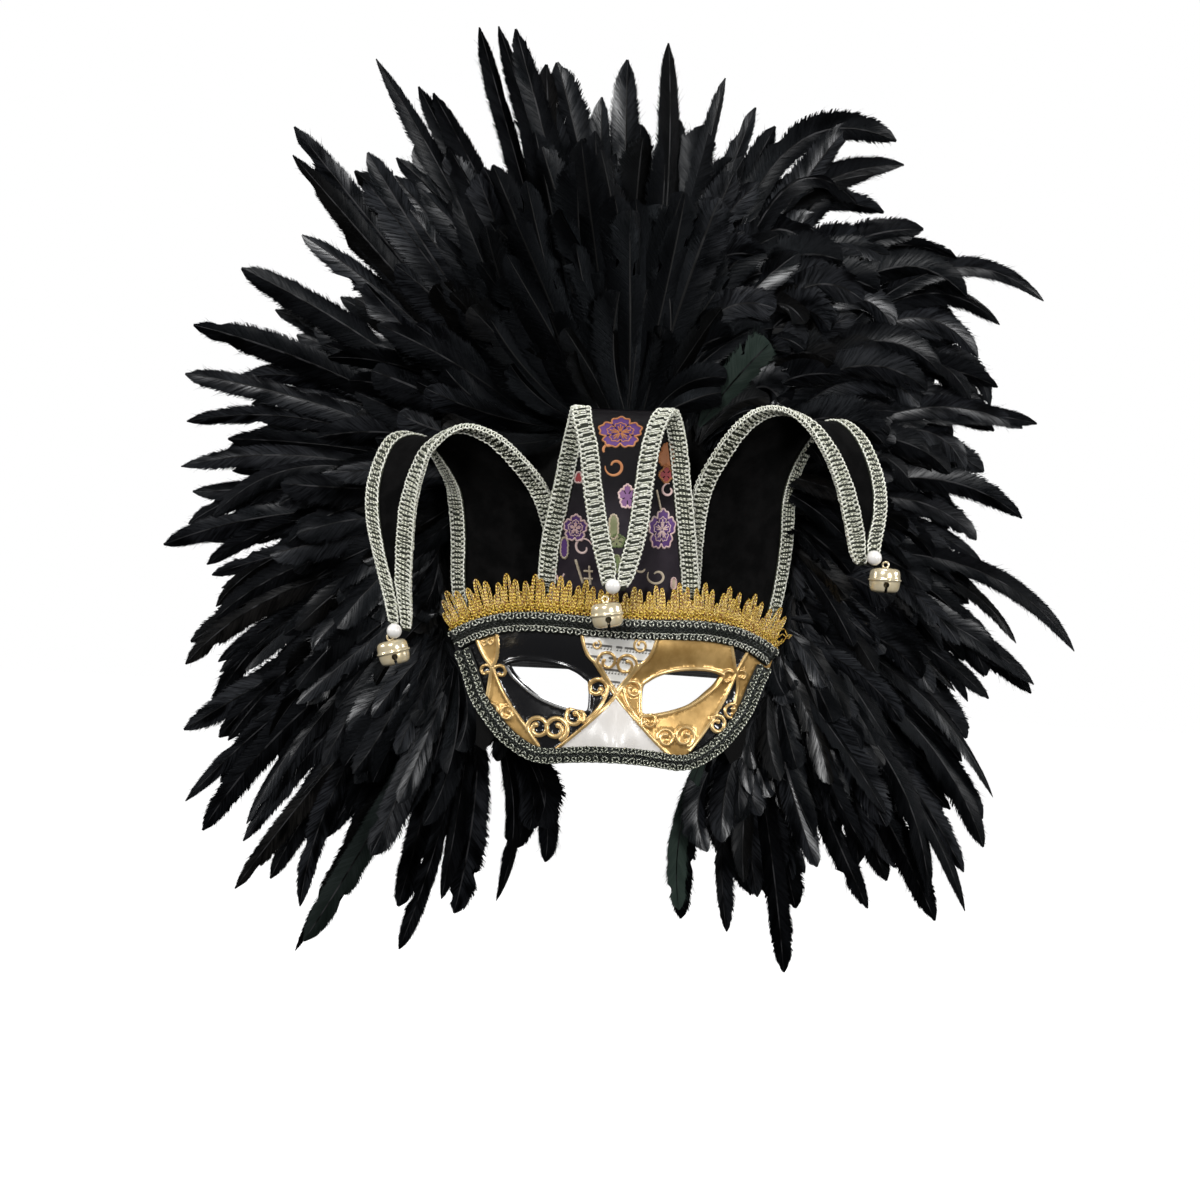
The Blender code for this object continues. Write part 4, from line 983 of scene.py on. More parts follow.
# %% The two lengths of edge braid
luck = np.random.default_rng(3)
make_edge_braid("top_braid", top_path(), TOP_BRAID_WIDTH, over_lace, EDGE_CORD, luck)
lower = lower_path()
clear_of_top = (distance_to(lower + inward(lower) * LOWER_BRAID_WIDTH, top_path())
                > TOP_BRAID_WIDTH + 2 * GAP)
clear_of_top &= distance_to(lower, top_path()) > TOP_BRAID_WIDTH
first, last = np.flatnonzero(clear_of_top)[[0, -1]]
make_edge_braid("lower_braid", lower[first:last + 1], LOWER_BRAID_WIDTH, flat_base, LOWER_CORD,
                luck)

# %% [markdown]
# ## Gold lace
# Behind the top braid stands an open band of metallic lace, a crown of narrow pointed loops.
# Each motif has six fingers of different heights, and wavy threads tie their feet together.

# %% Lace sizes
LACE_HEIGHT, LACE_MOTIFS = 20.5, 14
LACE_DIP = 0.2         # share of the height that is missing over the nose
LACE_END = 0.012       # share of the edge that is left free at each end
NOSE_SHARE = 0.12      # of the edge on each side of the nose where the lace is lower
FINGER_THREADS = [(0.0, 0.56), (0.95, 0.36)]  # inset, radius
FINGER_FOOT = 2.0      # height
RUNG_FROM, RUNG_PITCH, RUNG_CORD = 5.5, 2.9, 0.3
FINGERS = [  # share of a motif, share of the height, half width in mm
    (0.0, 0.50, 1.2), (0.17, 0.82, 1.5), (0.31, 0.66, 1.1), (0.47, 1.0, 1.7), (0.62, 0.70, 1.1),
    (0.77, 0.87, 1.5),
]
LACE_ROWS = [  # height in mm, loops in each motif, radius
    (-3.4, 4, 0.5), (-0.4, 4, 0.6), (2.6, 4, 0.6), (5.6, 3, 0.56),
]
LACE_LOOP = (1.5, 1.7)  # half height of a row's loops, and how far they swing back
GOLD_THREAD = twisted_cord("gold thread", (1.0, 0.72, 0.10, 1), (0.22, 0.055, 0.0, 1), 1.8,
                           metallic=0.15, roughness=0.16, dark_share=0.30)
LOOSE_ENDS = [  # share of the edge, height, how far out, rise, swing
    (0.984, 6.0, 6.5, 1.5, 1.5), (0.990, 3.0, 7.5, 4.5, -1.3), (0.978, 10.0, 5.0, -2.5, 1.4),
]


def loose_end(piece, edge, into, run, row):
    """A cut end of gold thread that stands out past the last finger."""
    share, height, out, rise, swing = row
    flat = along_edge(edge, into, run, np.array([share * run[-1]]), np.array([-height]))
    foot = on_face(flat, GAP + 1.0)[0]
    t = np.linspace(0, 1, 14)
    path = foot + np.stack([out * t, -1.5 * t, rise * t + swing * np.sin(2 * math.pi * t)], axis=1)
    cord(piece, path, FRONT, 0.3, 0, 4)


# %% The lace
def make_gold_lace(luck):
    piece = Piece("gold_lace", [GOLD_THREAD], ["gold_lace"], "lace")
    edge = top_path(301)
    into, run = inward(edge), run_of(edge)
    pitch = (1 - 2 * LACE_END) / LACE_MOTIFS

    def thread(shares, heights, lift, radius, sides=5):
        flat = along_edge(edge, into, run, np.clip(shares, 0.002, 0.998) * run[-1], -heights)
        offset = GAP + 0.5 + lift
        cord(piece, on_face(flat, offset), face_out(flat), radius, 0, sides)

    turn = np.linspace(0, 1, 26)
    for motif in range(LACE_MOTIFS):
        for share, high, half in FINGERS:
            along = LACE_END + (motif + share) * pitch
            over_nose = math.exp(-((along - 0.5) / NOSE_SHARE) ** 2)
            tall = LACE_HEIGHT * (1 - LACE_DIP * over_nose) * high * luck.uniform(0.93, 1.02)
            lean = luck.normal(0, 0.5)
            for inset, radius in FINGER_THREADS:
                width, top = half - inset, tall - inset * 1.6
                swell = np.sin(math.pi * np.clip(turn * 1.02, 0, 1)) ** 0.5
                across = -np.cos(math.pi * turn) * width * (0.65 + 0.35 * swell)
                up = FINGER_FOOT + (top - FINGER_FOOT) * np.sin(math.pi * turn) ** 0.62
                lift = 0.25 * np.sin(turn * 2 * math.pi + inset)
                thread(along + (across + lean * up / top) / run[-1], up, lift, radius)
            for rung in np.arange(RUNG_FROM, tall - 2.5, RUNG_PITCH):
                step = np.linspace(-1, 1, 4)
                shares = along + (step * (half - 0.4) + lean * rung / tall) / run[-1]
                lift = 0.2 + 0.2 * np.cos(step * 2)
                thread(shares, rung + 0.6 * np.abs(step), lift, RUNG_CORD, 4)
    half_height, back = LACE_LOOP
    for height, loops, radius in LACE_ROWS:
        turn_row = np.linspace(0, 1, LACE_MOTIFS * loops * 10)
        angle = 2 * math.pi * turn_row * LACE_MOTIFS * loops + height
        shares = turn_row - back * np.sin(angle) / run[-1]
        thread(shares, height + half_height * np.cos(angle), 0.3 * np.cos(angle + 0.8), radius)
    for row in LOOSE_ENDS:
        loose_end(piece, edge, into, run, row)
    piece.build()


make_gold_lace(np.random.default_rng(5))

# %% [markdown]
# ## Horns
# Each horn is a strip of stiff cloth between two bound edges, given by a table of stations from
# the base up, over and down to the tip. The finer cloth here follows the same stations.

# %% Horn tables
CLOTH = 1.0            # thickness
BINDING_WIDTH = 10.5
BEND_SHARE = 0.6       # of the half width that bends: the rest slopes straight to the edge
CENTRE_HORN = [  # left x, y, z, right x, y, z, bow
    (-37.9, 11.6, 31.0, 36.6, 11.6, 31.0, 11.0),
    (-39.0, 11.4, 56.0, 36.8, 10.8, 57.0, 10.0),
    (-38.5, 6.0, 77.0, 34.0, 6.0, 78.0, 8.0),
    (-35.2, 2.4, 98.0, 30.7, 2.4, 99.0, 6.5),
    (-31.0, -0.5, 126.0, 26.0, -0.5, 128.0, 4.0),
    (-28.6, -3.4, 140.3, 22.8, -3.4, 142.0, 2.0),
    (-27.2, -9.7, 147.3, 18.6, -9.9, 148.5, 0.6),
    (-26.2, -15.6, 140.5, 13.5, -15.6, 142.0, 0.0),
    (-22.2, -18.0, 126.0, 9.8, -18.0, 128.0, -1.0),
    (-18.8, -19.0, 104.7, 7.3, -19.0, 106.0, -1.5),
    (-14.5, -21.0, 83.0, 5.4, -21.0, 84.0, -1.5),
    (-8.6, -22.6, 62.0, 0.4, -22.6, 62.0, 0.0),
    (-5.4, -23.2, 52.5, -4.6, -23.2, 52.5, 0.0),
]
LEFT_HORN = [  # back x, y, z, front x, y, z, bow
    (-79.4, 46.5, 26.0, -34.0, 16.8, 30.0, 4.0),
    (-84.6, 48.0, 52.0, -34.5, 16.6, 60.0, 5.0),
    (-86.3, 41.0, 78.0, -37.5, 14.0, 84.0, 5.0),
    (-89.3, 36.0, 98.0, -45.4, 9.6, 103.0, 4.0),
    (-92.8, 33.0, 108.0, -57.6, -6.0, 116.9, 3.0),
    (-98.4, 31.0, 116.6, -73.5, -13.0, 129.3, 2.0),
    (-106.5, 28.0, 126.0, -91.0, -15.0, 133.0, 1.0),
    (-116.2, 24.0, 129.5, -105.2, -11.0, 122.6, 0.0),
    (-126.3, 19.0, 124.0, -110.5, -7.0, 110.5, -1.0),
    (-132.8, 13.0, 104.0, -114.2, -4.0, 94.0, -1.5),
    (-132.6, 8.0, 84.0, -115.4, -2.0, 77.0, -1.5),
    (-127.6, 4.0, 62.0, -115.4, -1.0, 55.0, -1.0),
    (-119.6, 1.2, 37.0, -114.6, 0.3, 35.0, 0.0),
    (-116.4, 0.5, 25.8, -115.4, 0.5, 25.6, 0.0),
]
RIGHT_HORN = [  # back x, y, z, front x, y, z, bow
    (80.5, 47.5, 26.0, 35.0, 17.4, 30.0, 4.0),
    (86.8, 50.5, 54.0, 37.5, 17.2, 62.0, 5.0),
    (89.4, 44.0, 82.0, 37.8, 13.6, 86.0, 5.0),
    (88.9, 37.0, 104.0, 40.6, 7.5, 109.0, 4.0),
    (90.2, 35.0, 116.0, 49.2, -2.0, 128.5, 3.0),
    (93.5, 33.0, 127.0, 58.5, -9.0, 142.6, 2.0),
    (99.1, 30.0, 139.0, 70.0, -13.0, 151.2, 1.5),
    (106.5, 26.0, 147.6, 83.0, -13.0, 151.8, 1.0),
    (114.8, 20.0, 149.0, 95.7, -9.0, 144.6, 0.0),
    (124.6, 14.0, 139.4, 106.2, -6.0, 131.5, -1.0),
    (132.6, 9.0, 121.0, 114.4, -4.0, 115.0, -1.5),
    (134.9, 5.0, 103.0, 119.8, -3.0, 98.0, -1.5),
    (132.2, 1.0, 83.0, 124.8, -2.0, 81.0, 0.0),
    (130.6, -0.3, 73.8, 129.4, -0.7, 73.6, 0.0),
]


# %% The cloth of a horn as a surface
class Cloth:
    """Maps a run along the middle line, a distance from it and a height onto the bowed cloth."""

    def __init__(self, rows):
        self.rows = through(rows, 24)
        middle = (self.rows[:, :3] + self.rows[:, 3:6]) / 2
        self.run = run_of(middle)
        across = unit(self.rows[:, 3:6] - self.rows[:, :3])
        off = unit(np.cross(unit(np.gradient(middle, axis=0)), across))
        if off[0, 1] < 0:
            off = -off
        half = np.linalg.norm(self.rows[:, 3:6] - self.rows[:, :3], axis=1) / 2
        self.table = np.hstack([middle, across, off, half[:, None] + BINDING_WIDTH / 2,
                                self.rows[:, 6:7]])
        self.length = self.run[-1]

    def read(self, run):
        table = columns_at(self.table, self.run, run)
        return table[:, :3], unit(table[:, 3:6]), unit(table[:, 6:9]), table[:, 9], table[:, 10]

    def half(self, run):
        return np.interp(run, self.run, self.table[:, 9])

    def point(self, run, from_middle, out):
        run, from_middle, out = np.broadcast_arrays(*map(np.atleast_1d, (run, from_middle, out)))
        middle, across, off, half, bow = self.read(run)
        share = np.abs(from_middle) / half
        slope = 1.4 * bow / half
        bent = 1 - BEND_SHARE / 2 - share**2 / (2 * BEND_SHARE)
        rise = slope * half * np.where(share > BEND_SHARE, 1 - share, bent)
        tilt = slope * np.minimum(share / BEND_SHARE, 1) * np.sign(from_middle)
        normal = unit(off - across * tilt[:, None])
        return middle + across * from_middle[:, None] - off * rise[:, None] + normal * out[:, None]

    def normal(self, run, from_middle):
        return unit(self.point(run, from_middle, 1.0) - self.point(run, from_middle, 0.0))


HORNS = {"center": Cloth(CENTRE_HORN), "left": Cloth(LEFT_HORN), "right": Cloth(RIGHT_HORN)}
for name, cloth in HORNS.items():
    print(f"horn_{name}: {cloth.length:.0f} mm along its middle")

# %% [markdown]
# ## Horn cloth
# The side horns are plain black velvet. The centre horn is plum-black satin with woven flowers
# and scrolls. Its motifs are thin patches that lie on the cloth, so their thread has an edge.


# %% Cloth finishes
def velvet():
    made = Finish("black velvet", 0.06, roughness=0.9, sheen_weight=0.02, sheen_roughness=0.4)
    crush = made.noise(made.place(), 0.09, 4, 0.6)
    pile = made.noise(made.place(), 3.5, 2)
    made.vary("Base Color", made.mix(crush.step(0.35, 0.7), (0.0008, 0.0008, 0.0008, 1),
                                     (0.004, 0.0038, 0.0038, 1)))
    made.bump(crush * 1.5 + pile * 0.3, 0.3, 0.7)
    return made.material


def satin(name, dark, light, pitch=0.5, painted_shade_from=None):
    """Fine ribs across the cloth, lighter and darker over slow folds, which is painted light and
    shade. It can go black above a height, a painted shade.
    """
    made = Finish(name, 0.1)
    across, along = made.flat()
    fold = made.noise(made.place(), 0.06, 3)
    ribs = (along * (2 * math.pi / pitch)).sine() * 0.5 + 0.5
    warp = (across * (2 * math.pi / (pitch * 0.8))).sine() * 0.5 + 0.5
    # The fold noise lightens and darkens the colour as slow folds would catch the light: painted
    # light and shade.
    colour = made.mix(fold.step(0.3, 0.7) * 0.7 + ribs * 0.3, dark, light)
    # Black above a height, towards the top of the horn: painted shade.
    if painted_shade_from:
        height = made.parts(made.place())[2].step(painted_shade_from, painted_shade_from + 34.0)
        colour = made.mix(height, colour, (0.003, 0.002, 0.003, 1))
    made.vary("Base Color", colour)
    made.vary("Roughness", warp * 0.12 + 0.32)
    made.bump(ribs + warp * 0.6, 0.07, 0.7)
    return made.material


VELVET = velvet()
BROCADE = [
    satin("plum black satin", (0.014, 0.010, 0.015, 1), (0.040, 0.032, 0.041, 1), painted_shade_from=78.0),
    satin("purple silk", (0.06, 0.026, 0.11, 1), (0.17, 0.085, 0.27, 1), 0.9),
    satin("orange silk", (0.36, 0.13, 0.05, 1), (0.62, 0.29, 0.13, 1), 0.9),
    satin("cream silk", (0.42, 0.34, 0.24, 1), (0.66, 0.57, 0.44, 1), 0.9),
    satin("green silk", (0.07, 0.10, 0.04, 1), (0.22, 0.27, 0.12, 1), 0.9),
    satin("red silk", (0.25, 0.03, 0.04, 1), (0.45, 0.09, 0.09, 1), 0.9),
    satin("lilac silk", (0.16, 0.07, 0.18, 1), (0.32, 0.18, 0.34, 1), 0.9),
    satin("pink silk", (0.62, 0.40, 0.38, 1), (0.86, 0.68, 0.64, 1), 0.9),
    satin("olive silk", (0.14, 0.15, 0.07, 1), (0.36, 0.37, 0.22, 1), 0.9),
]
PLUM, PURPLE, ORANGE, CREAM, GREEN, RED, LILAC, PINK, OLIVE = range(9)

# %% Woven motifs
FOLD_SHARE = 0.52      # of the horn's run: the flap lies past it
FLOWERS = [  # x, z, on the flap, half width, half height, petals, fill, outline
    (-6.1, 135.4, True, 11.4, 8.4, 5, PURPLE, ORANGE),
    (-1.0, 101.9, True, 4.6, 6.4, 5, LILAC, PINK),
    (-7.0, 85.6, True, 2.9, 6.4, 2, OLIVE, CREAM),
    (-5.2, 78.6, True, 4.2, 3.6, 5, OLIVE, GREEN),
    (-4.8, 66.5, True, 2.2, 4.5, 2, GREEN, OLIVE),
    (-26.4, 84.5, False, 6.2, 7.0, 5, PURPLE, PINK),
    (-31.3, 73.6, False, 2.5, 5.4, 2, PURPLE, CREAM),
    (-25.9, 111.1, False, 2.2, 3.2, 3, RED, PINK),
    (19.4, 125.3, False, 4.2, 6.4, 3, ORANGE, ORANGE),
    (19.9, 115.0, False, 3.8, 4.2, 4, RED, ORANGE),
    (19.4, 85.9, False, 7.2, 10.5, 5, PURPLE, PINK),
    (28.0, 58.0, False, 1.6, 3.4, 2, CREAM, PINK),
]
SCROLL_RIBBONS = [  # x, z, on the flap, radius, turns, start angle, hand, width, silk
    (-8.6, 117.4, True, 4.6, 0.95, 175, 1, 1.5, ORANGE),
    (-12.6, 124.0, True, 4.0, 0.3, 60, 1, 1.5, ORANGE),
    (-21.0, 74.4, False, 4.2, 0.95, 20, 1, 1.3, PINK),
    (21.6, 107.4, False, 3.2, 0.9, 80, 1, 1.3, PINK),
    (18.4, 61.4, False, 4.6, 0.95, 150, 1, 1.4, CREAM),
    (11.6, 66.4, False, 4.6, 0.22, 200, 1, 1.3, CREAM),
]
STITCHES = [  # from x, z, to x, z, width, silk
    (-25.3, 67.6, -21.3, 54.0, 1.5, CREAM),
    (-17.7, 65.3, -17.0, 53.7, 1.3, CREAM),
    (-19.9, 62.1, -15.1, 62.3, 1.3, CREAM),
    (-19.7, 57.8, -14.9, 58.1, 1.3, CREAM),
    (-35.6, 62.8, -33.0, 54.4, 1.3, PINK),
    (-33.0, 54.4, -30.2, 60.9, 1.1, PINK),
    (15.2, 107.0, 18.1, 96.6, 1.2, CREAM),
]
THREAD_RISE = 0.16     # of a motif above the cloth
VEINED_FROM = 5.0      # half size of the smallest flower with stitched veins


def seat_on(cloth, x, z, on_flap):
    """Run and distance on the cloth that show at a place seen from the front."""
    start, end = (FOLD_SHARE, 1.0) if on_flap else (0.0, FOLD_SHARE - 0.04)
    runs, shares = np.meshgrid(np.linspace(start, end, 160) * cloth.length,
                               np.linspace(-0.95, 0.95, 90))
    runs, middles = runs.ravel(), shares.ravel() * cloth.half(runs.ravel())
    seen = cloth.point(runs, middles, 0.0)
    best = np.argmin((seen[:, 0] - x) ** 2 + (seen[:, 2] - z) ** 2)
    return runs[best], middles[best]


def on_cloth(cloth, seat, on_flap, right, up, rise):
    """Local right and up, in millimetres, about a seat. The flap hangs, so its run points down."""
    run, middle = seat
    sign = -1 if on_flap else 1
    side = 1.0 if cloth.table[0, 3] > 0 else -1.0
    return cloth.point(run + sign * up, middle + side * right, -sign * (CLOTH / 2 + rise))


def woven_flower(piece, cloth, row):
    x, z, on_flap, wide, high, petals, fill, outline = row
    seat = seat_on(cloth, x, z, on_flap)
    turn = np.linspace(0, 2 * math.pi, 121)
    lobe = 0.72 + 0.28 * np.abs(np.cos(petals * turn / 2)) ** 0.7 + 0.05 * np.cos(15 * turn)
    rings = []
    for share in (0.02, 0.35, 0.7, 0.94):
        right, up = share * wide * lobe * np.sin(turn), share * high * lobe * np.cos(turn)
        rings.append(on_cloth(cloth, seat, on_flap, right, up, THREAD_RISE))
    rings = np.array(rings) if on_flap else np.array(rings)[::-1]
    strip(piece, rings, fill)
    run = run_of(rings[-1])

    def ribbon(right, up, width, silk, rise):
        path = on_cloth(cloth, seat, on_flap, right, up, rise)
        cord(piece, path, FRONT, width, silk, sides=4)

    ribbon(wide * lobe * np.sin(turn), high * lobe * np.cos(turn), 0.55, outline, 0.1)
    if petals < 4:
        return
    for petal in range(petals):
        angle = 2 * math.pi * (petal + 0.5) / petals
        reach = np.linspace(0.30, 0.66, 4)
        ribbon(wide * reach * np.sin(angle), high * reach * np.cos(angle), 0.32, PLUM, 0.12)
    if min(wide, high) < VEINED_FROM:
        return
    ribbon(0.62 * wide * lobe * np.sin(turn), 0.62 * high * lobe * np.cos(turn), 0.3, outline, 0.15)
    for petal in range(petals):
        for spread in (-0.28, 0, 0.28):
            angle = 2 * math.pi * petal / petals + spread
            reach = np.linspace(0.06, 0.52 - 0.4 * abs(spread), 6)
            ribbon(wide * reach * np.sin(angle), high * reach * np.cos(angle), 0.36, outline, 0.2)


def woven_scroll(piece, cloth, row):
    x, z, on_flap, radius, turns, start, hand, width, silk = row
    seat = seat_on(cloth, x, z, on_flap)
    curve = scroll_curve((0, 0, radius, turns, start, hand), 40)
    taper = width / 2 * np.sin(np.linspace(0.15, math.pi - 0.4, 40)) ** 0.6
    path = on_cloth(cloth, seat, on_flap, curve[:, 0], curve[:, 1], 0.05)
    along = unit(np.gradient(path, axis=0))
    side = unit(np.cross(along, FRONT)) * taper[:, None]
    up = FRONT * 0.22
    rows = np.stack([path - side, path - side * 0.5 + up, path + side * 0.5 + up, path + side], 1)
    strip(piece, rows, silk)


def stitched_bar(piece, cloth, row):
    x, z, end_x, end_z, width, silk = row
    seat = seat_on(cloth, x, z, False)
    share = np.linspace(0, 1, 14)
    beads = 0.25 * np.abs(np.sin(share * 14))
    path = on_cloth(cloth, seat, False, share * (end_x - x), share * (end_z - z), 0.1)
    cord(piece, path, FRONT, width / 2 * (0.8 + beads), silk)


# %% Cloth of the three horns
CLOTH_REACH = 2.7      # from the outer edge of the binding to the cloth's edge


def make_horn_cloth(name, materials, slot):
    cloth = HORNS[name]
    piece = Piece(f"horn_{name}", materials, [f"horn_{name}"], slot)
    runs = np.linspace(0, cloth.length, 90)
    shares = np.linspace(-1, 1, 17)
    sides = []
    for out, order in ((-CLOTH / 2, shares), (CLOTH / 2, shares[::-1])):
        sides += [(share, out) for share in order]
    rows, maps = [], []
    for share, out in sides:
        middles = share * (cloth.half(runs) - CLOTH_REACH)
        rows.append(cloth.point(runs, middles, out))
        maps.append(np.stack([middles, runs], axis=1))
    strip(piece, np.stack(rows, axis=1), 0, closed=True, flat=np.stack(maps, axis=1))
    return piece


centre_cloth = make_horn_cloth("center", BROCADE, "brocade")
for row in FLOWERS:
    woven_flower(centre_cloth, HORNS["center"], row)
for row in SCROLL_RIBBONS:
    woven_scroll(centre_cloth, HORNS["center"], row)
for row in STITCHES:
    stitched_bar(centre_cloth, HORNS["center"], row)
centre_cloth.build()
for name in ("left", "right"):
    make_horn_cloth(name, [VELVET], "velvet").build()

# %% [markdown]
# ## Binding braid
# Each long edge of a horn is wrapped in gimp, a tape that is folded round the edge. Both faces
# carry two rows of looped cord with rungs between them, and one more cord winds over the fold.

# %% Binding
YARN = 0.5             # radius
TAPE_IN, TAPE_OUT = 0.75, 0.95  # of the tape's two faces from the cloth's middle
YARN_OUT = 1.3         # of the yarn's middle
BINDING_SECTION = [  # depth from the outer edge, height from the cloth's middle
    (0.5, -TAPE_OUT * 0.6), (1.4, -TAPE_OUT), (BINDING_WIDTH - 0.3, -TAPE_OUT),
    (BINDING_WIDTH, -TAPE_IN), (2.4, -TAPE_IN), (2.4, TAPE_IN), (BINDING_WIDTH, TAPE_IN),
    (BINDING_WIDTH - 0.3, TAPE_OUT), (1.4, TAPE_OUT), (0.5, TAPE_OUT * 0.6),
]
EDGE_ROWS = [1.75, 8.75]  # depths of the two looped rows
EDGE_PITCH, EDGE_HALF_WIDTH, EDGE_BACK = 2.45, 1.15, 0.8
EDGE_WANDER, RUNG_WANDER = 0.16, 0.12  # spread of the loops' and the rungs' places
RUNG_YARN = (0.85, 1.1)  # shares of the yarn's radius
BINDING_STEP = 2.2     # between the stations of the tape
CHANNEL = (2.9, 7.6)   # depths between which the rungs show
RUNG_POINTS = np.linspace(0, 1, 6)
CLOSE_LADDER = {"pitch": 4.7, "strands": (-1.15, 0.0, 1.15), "slant": 1.0, "yarn": 0}
OPEN_LADDER = {"pitch": 2.9, "strands": (-0.45, 0.45), "slant": 0.5, "yarn": 2}


def make_binding(name, sign, label, luck):
    cloth = HORNS[name]
    node = f"horn_{name}_binding_{label}"
    piece = Piece(node, [SILVER_GREEN, OLIVE_TAPE, SOFT_GREEN], [node], "binding")
    runs = np.linspace(0, cloth.length, int(cloth.length / BINDING_STEP))

    def at(run, depth, out):
        width = np.minimum(BINDING_WIDTH, cloth.half(run) - GAP)
        return cloth.point(run, sign * (cloth.half(run) - depth * width / BINDING_WIDTH), out)

    rows = np.stack([at(runs, depth, out) for depth, out in BINDING_SECTION], axis=1)
    strip(piece, rows if sign > 0 else rows[:, ::-1], 1, closed=True)

    def thread(run, depth, height, face, radius, material=0):
        run = np.clip(run, 0, cloth.length)
        facing = cloth.normal(run, sign * (cloth.half(run) - 3)) * face
        cord(piece, at(run, depth, face * (YARN_OUT + height)), facing, radius, material, sides=4)

    loops = int(cloth.length / EDGE_PITCH)
    turn = np.linspace(0, loops, loops * 9 + 1)
    for face in (-1, 1):
        for middle, way in zip(EDGE_ROWS, (1, -1)):
            angle = 2 * math.pi * turn * way + luck.uniform(0, 6)
            run = turn * EDGE_PITCH - EDGE_BACK * np.sin(angle)
            wander = np.interp(turn, np.arange(loops + 1), luck.normal(0, EDGE_WANDER, loops + 1))
            thread(run + wander, middle + EDGE_HALF_WIDTH * np.cos(angle) + wander,
                   0.3 * np.sin(angle + 0.7), face, YARN)
        ladder = CLOSE_LADDER if name == "center" and face > 0 else OPEN_LADDER
        depth = CHANNEL[0] + (CHANNEL[1] - CHANNEL[0]) * RUNG_POINTS
        height = 0.35 * np.sin(math.pi * RUNG_POINTS) - 0.1
        for place in np.arange(ladder["pitch"], cloth.length - 1, ladder["pitch"]):
            for strand in ladder["strands"]:
                lean = ladder["slant"] * (RUNG_POINTS - 0.5) * sign + luck.normal(0, RUNG_WANDER)
                thread(place + strand + lean, depth, height, face,
                       YARN * luck.uniform(*RUNG_YARN), ladder["yarn"])
    angle = 2 * math.pi * turn
    path = at(turn * EDGE_PITCH, 0.5 - 0.2 * np.cos(angle), 1.25 * np.cos(angle))
    cord(piece, path, cloth.normal(turn * EDGE_PITCH, 0.0), YARN * 0.9, 0, sides=4)
    piece.build()


for name, labels in (("center", ("left", "right")), ("left", ("back", "front")),
                     ("right", ("back", "front"))):
    for sign, label in zip((-1, 1), labels):
        make_binding(name, sign, label, np.random.default_rng(8))

# %% [markdown]
# ## Bells and pearls
# A jingle bell is two pressed cups joined at a seam, with a keyhole slot across the lower cup and
# a loose pellet inside. It is turned from a profile, and the slot is cut by real solids.

# %% Bell and pearl sizes
BELL_PROFILE = [  # radius, height, from the crown down and under
    (0.0, 6.65), (3.5, 6.6), (5.7, 6.4), (7.0, 5.85), (7.8, 4.9), (8.15, 3.6), (8.3, 2.0),
    (8.35, 1.1), (8.55, 0.85), (9.0, 0.65), (9.05, 0.25), (8.95, -0.15), (8.5, -0.3),
    (8.3, -0.7), (8.2, -2.2), (7.9, -4.0), (7.2, -5.5), (5.7, -6.35), (3.2, -6.65),
    (1.6, -6.7), (0.0, -6.7),
]
BELL_WALL = 0.8
BELL_SLOT_WIDTH, BELL_SLOT_TOP, BELL_SLOT_EYE = 1.5, -2.4, 1.6
CUT_FOOT, CUT_REACH = -9.0, 12.0  # how far down and to each side the slot's cutter goes
PELLET_RADIUS, PELLET_PLACE = 2.1, (0.4, -0.5, -2.8)
RING_RADIUS, RING_WIRE, RING_PLACE = 1.6, 0.55, 8.3
PEARL_DIAMETER = 8.0
BELLS = [  # name, x, y, z, tilt in degrees, pearl's x, y, z
    ("center", -8.1, -23.5, 39.3, 10.0, -6.3, -29.8, 54.5),
    ("left", -118.5, 0.5, 13.3, 16.5, -118.8, -6.0, 24.7),
    ("right", 139.7, -1.5, 65.8, 0.0, 132.8, -7.1, 77.4),
]
BELL_METAL = mottled("polished pale gold", (0.18, 3),
                     ((0.95, 0.84, 0.60, 1), (0.86, 0.70, 0.42, 1)), (0.3, 0.75), (0.12, 0.16),
                     (0.15, 0.4), metallic=0.5, coat_weight=0.8, coat_roughness=0.05)
PEARL = mottled("pearl", (0.5, 2), ((0.82, 0.79, 0.74, 1), (0.92, 0.90, 0.87, 1)),
                rough=(0.1, 0.15), coat_weight=0.6, coat_roughness=0.08)
# The inside of a bell gets a dark matte finish for the shade in its hollow: painted shade.
BELL_INSIDE_SHADE = dark_tape("bell inside", (0.03, 0.024, 0.015, 1))


# %% Turned shapes and cuts
def turned(profile, sides):
    """Points and triangles of a profile turned about Z. Its two ends lie on the axis."""
    inner = np.asarray(profile[1:-1], float)
    turn = np.linspace(0, 2 * math.pi, sides, endpoint=False)
    ring = np.stack([np.cos(turn), np.sin(turn)], axis=1)
    points = [(0.0, 0.0, profile[0][1])]
    for radius, height in inner:
        points += [(radius * x, radius * y, height) for x, y in ring]
    points.append((0.0, 0.0, profile[-1][1]))
    faces, n = [], len(inner)
    for j in range(sides):
        k = (j + 1) % sides
        faces.append((0, 1 + j, 1 + k))
        faces.append((len(points) - 1, 1 + (n - 1) * sides + k, 1 + (n - 1) * sides + j))
        for i in range(n - 1):
            a, b = 1 + i * sides, 1 + (i + 1) * sides
            faces += [(a + j, b + j, b + k), (a + j, b + k, a + k)]
    return np.array(points), faces


def helper(points, faces):
    mesh = bpy.data.meshes.new("helper")
    mesh.from_pydata([tuple(p) for p in points], [], [tuple(f) for f in faces])
    made = bpy.data.objects.new("helper", mesh)
    bpy.context.scene.collection.objects.link(made)
    bm = bmesh.new()
    bm.from_mesh(mesh)
    bmesh.ops.recalc_face_normals(bm, faces=bm.faces)
    bm.to_mesh(mesh)
    bm.free()
    return made


def bar(outline, reach):
    """A prism along Y with the outline of x and z points."""
    n = len(outline)
    points = [(x, y, z) for y in (-reach, reach) for x, z in outline]
    faces = [tuple(range(n)), tuple(range(n, 2 * n))]
    faces += [(i, (i + 1) % n, (i + 1) % n + n, i + n) for i in range(n)]
    return points, faces


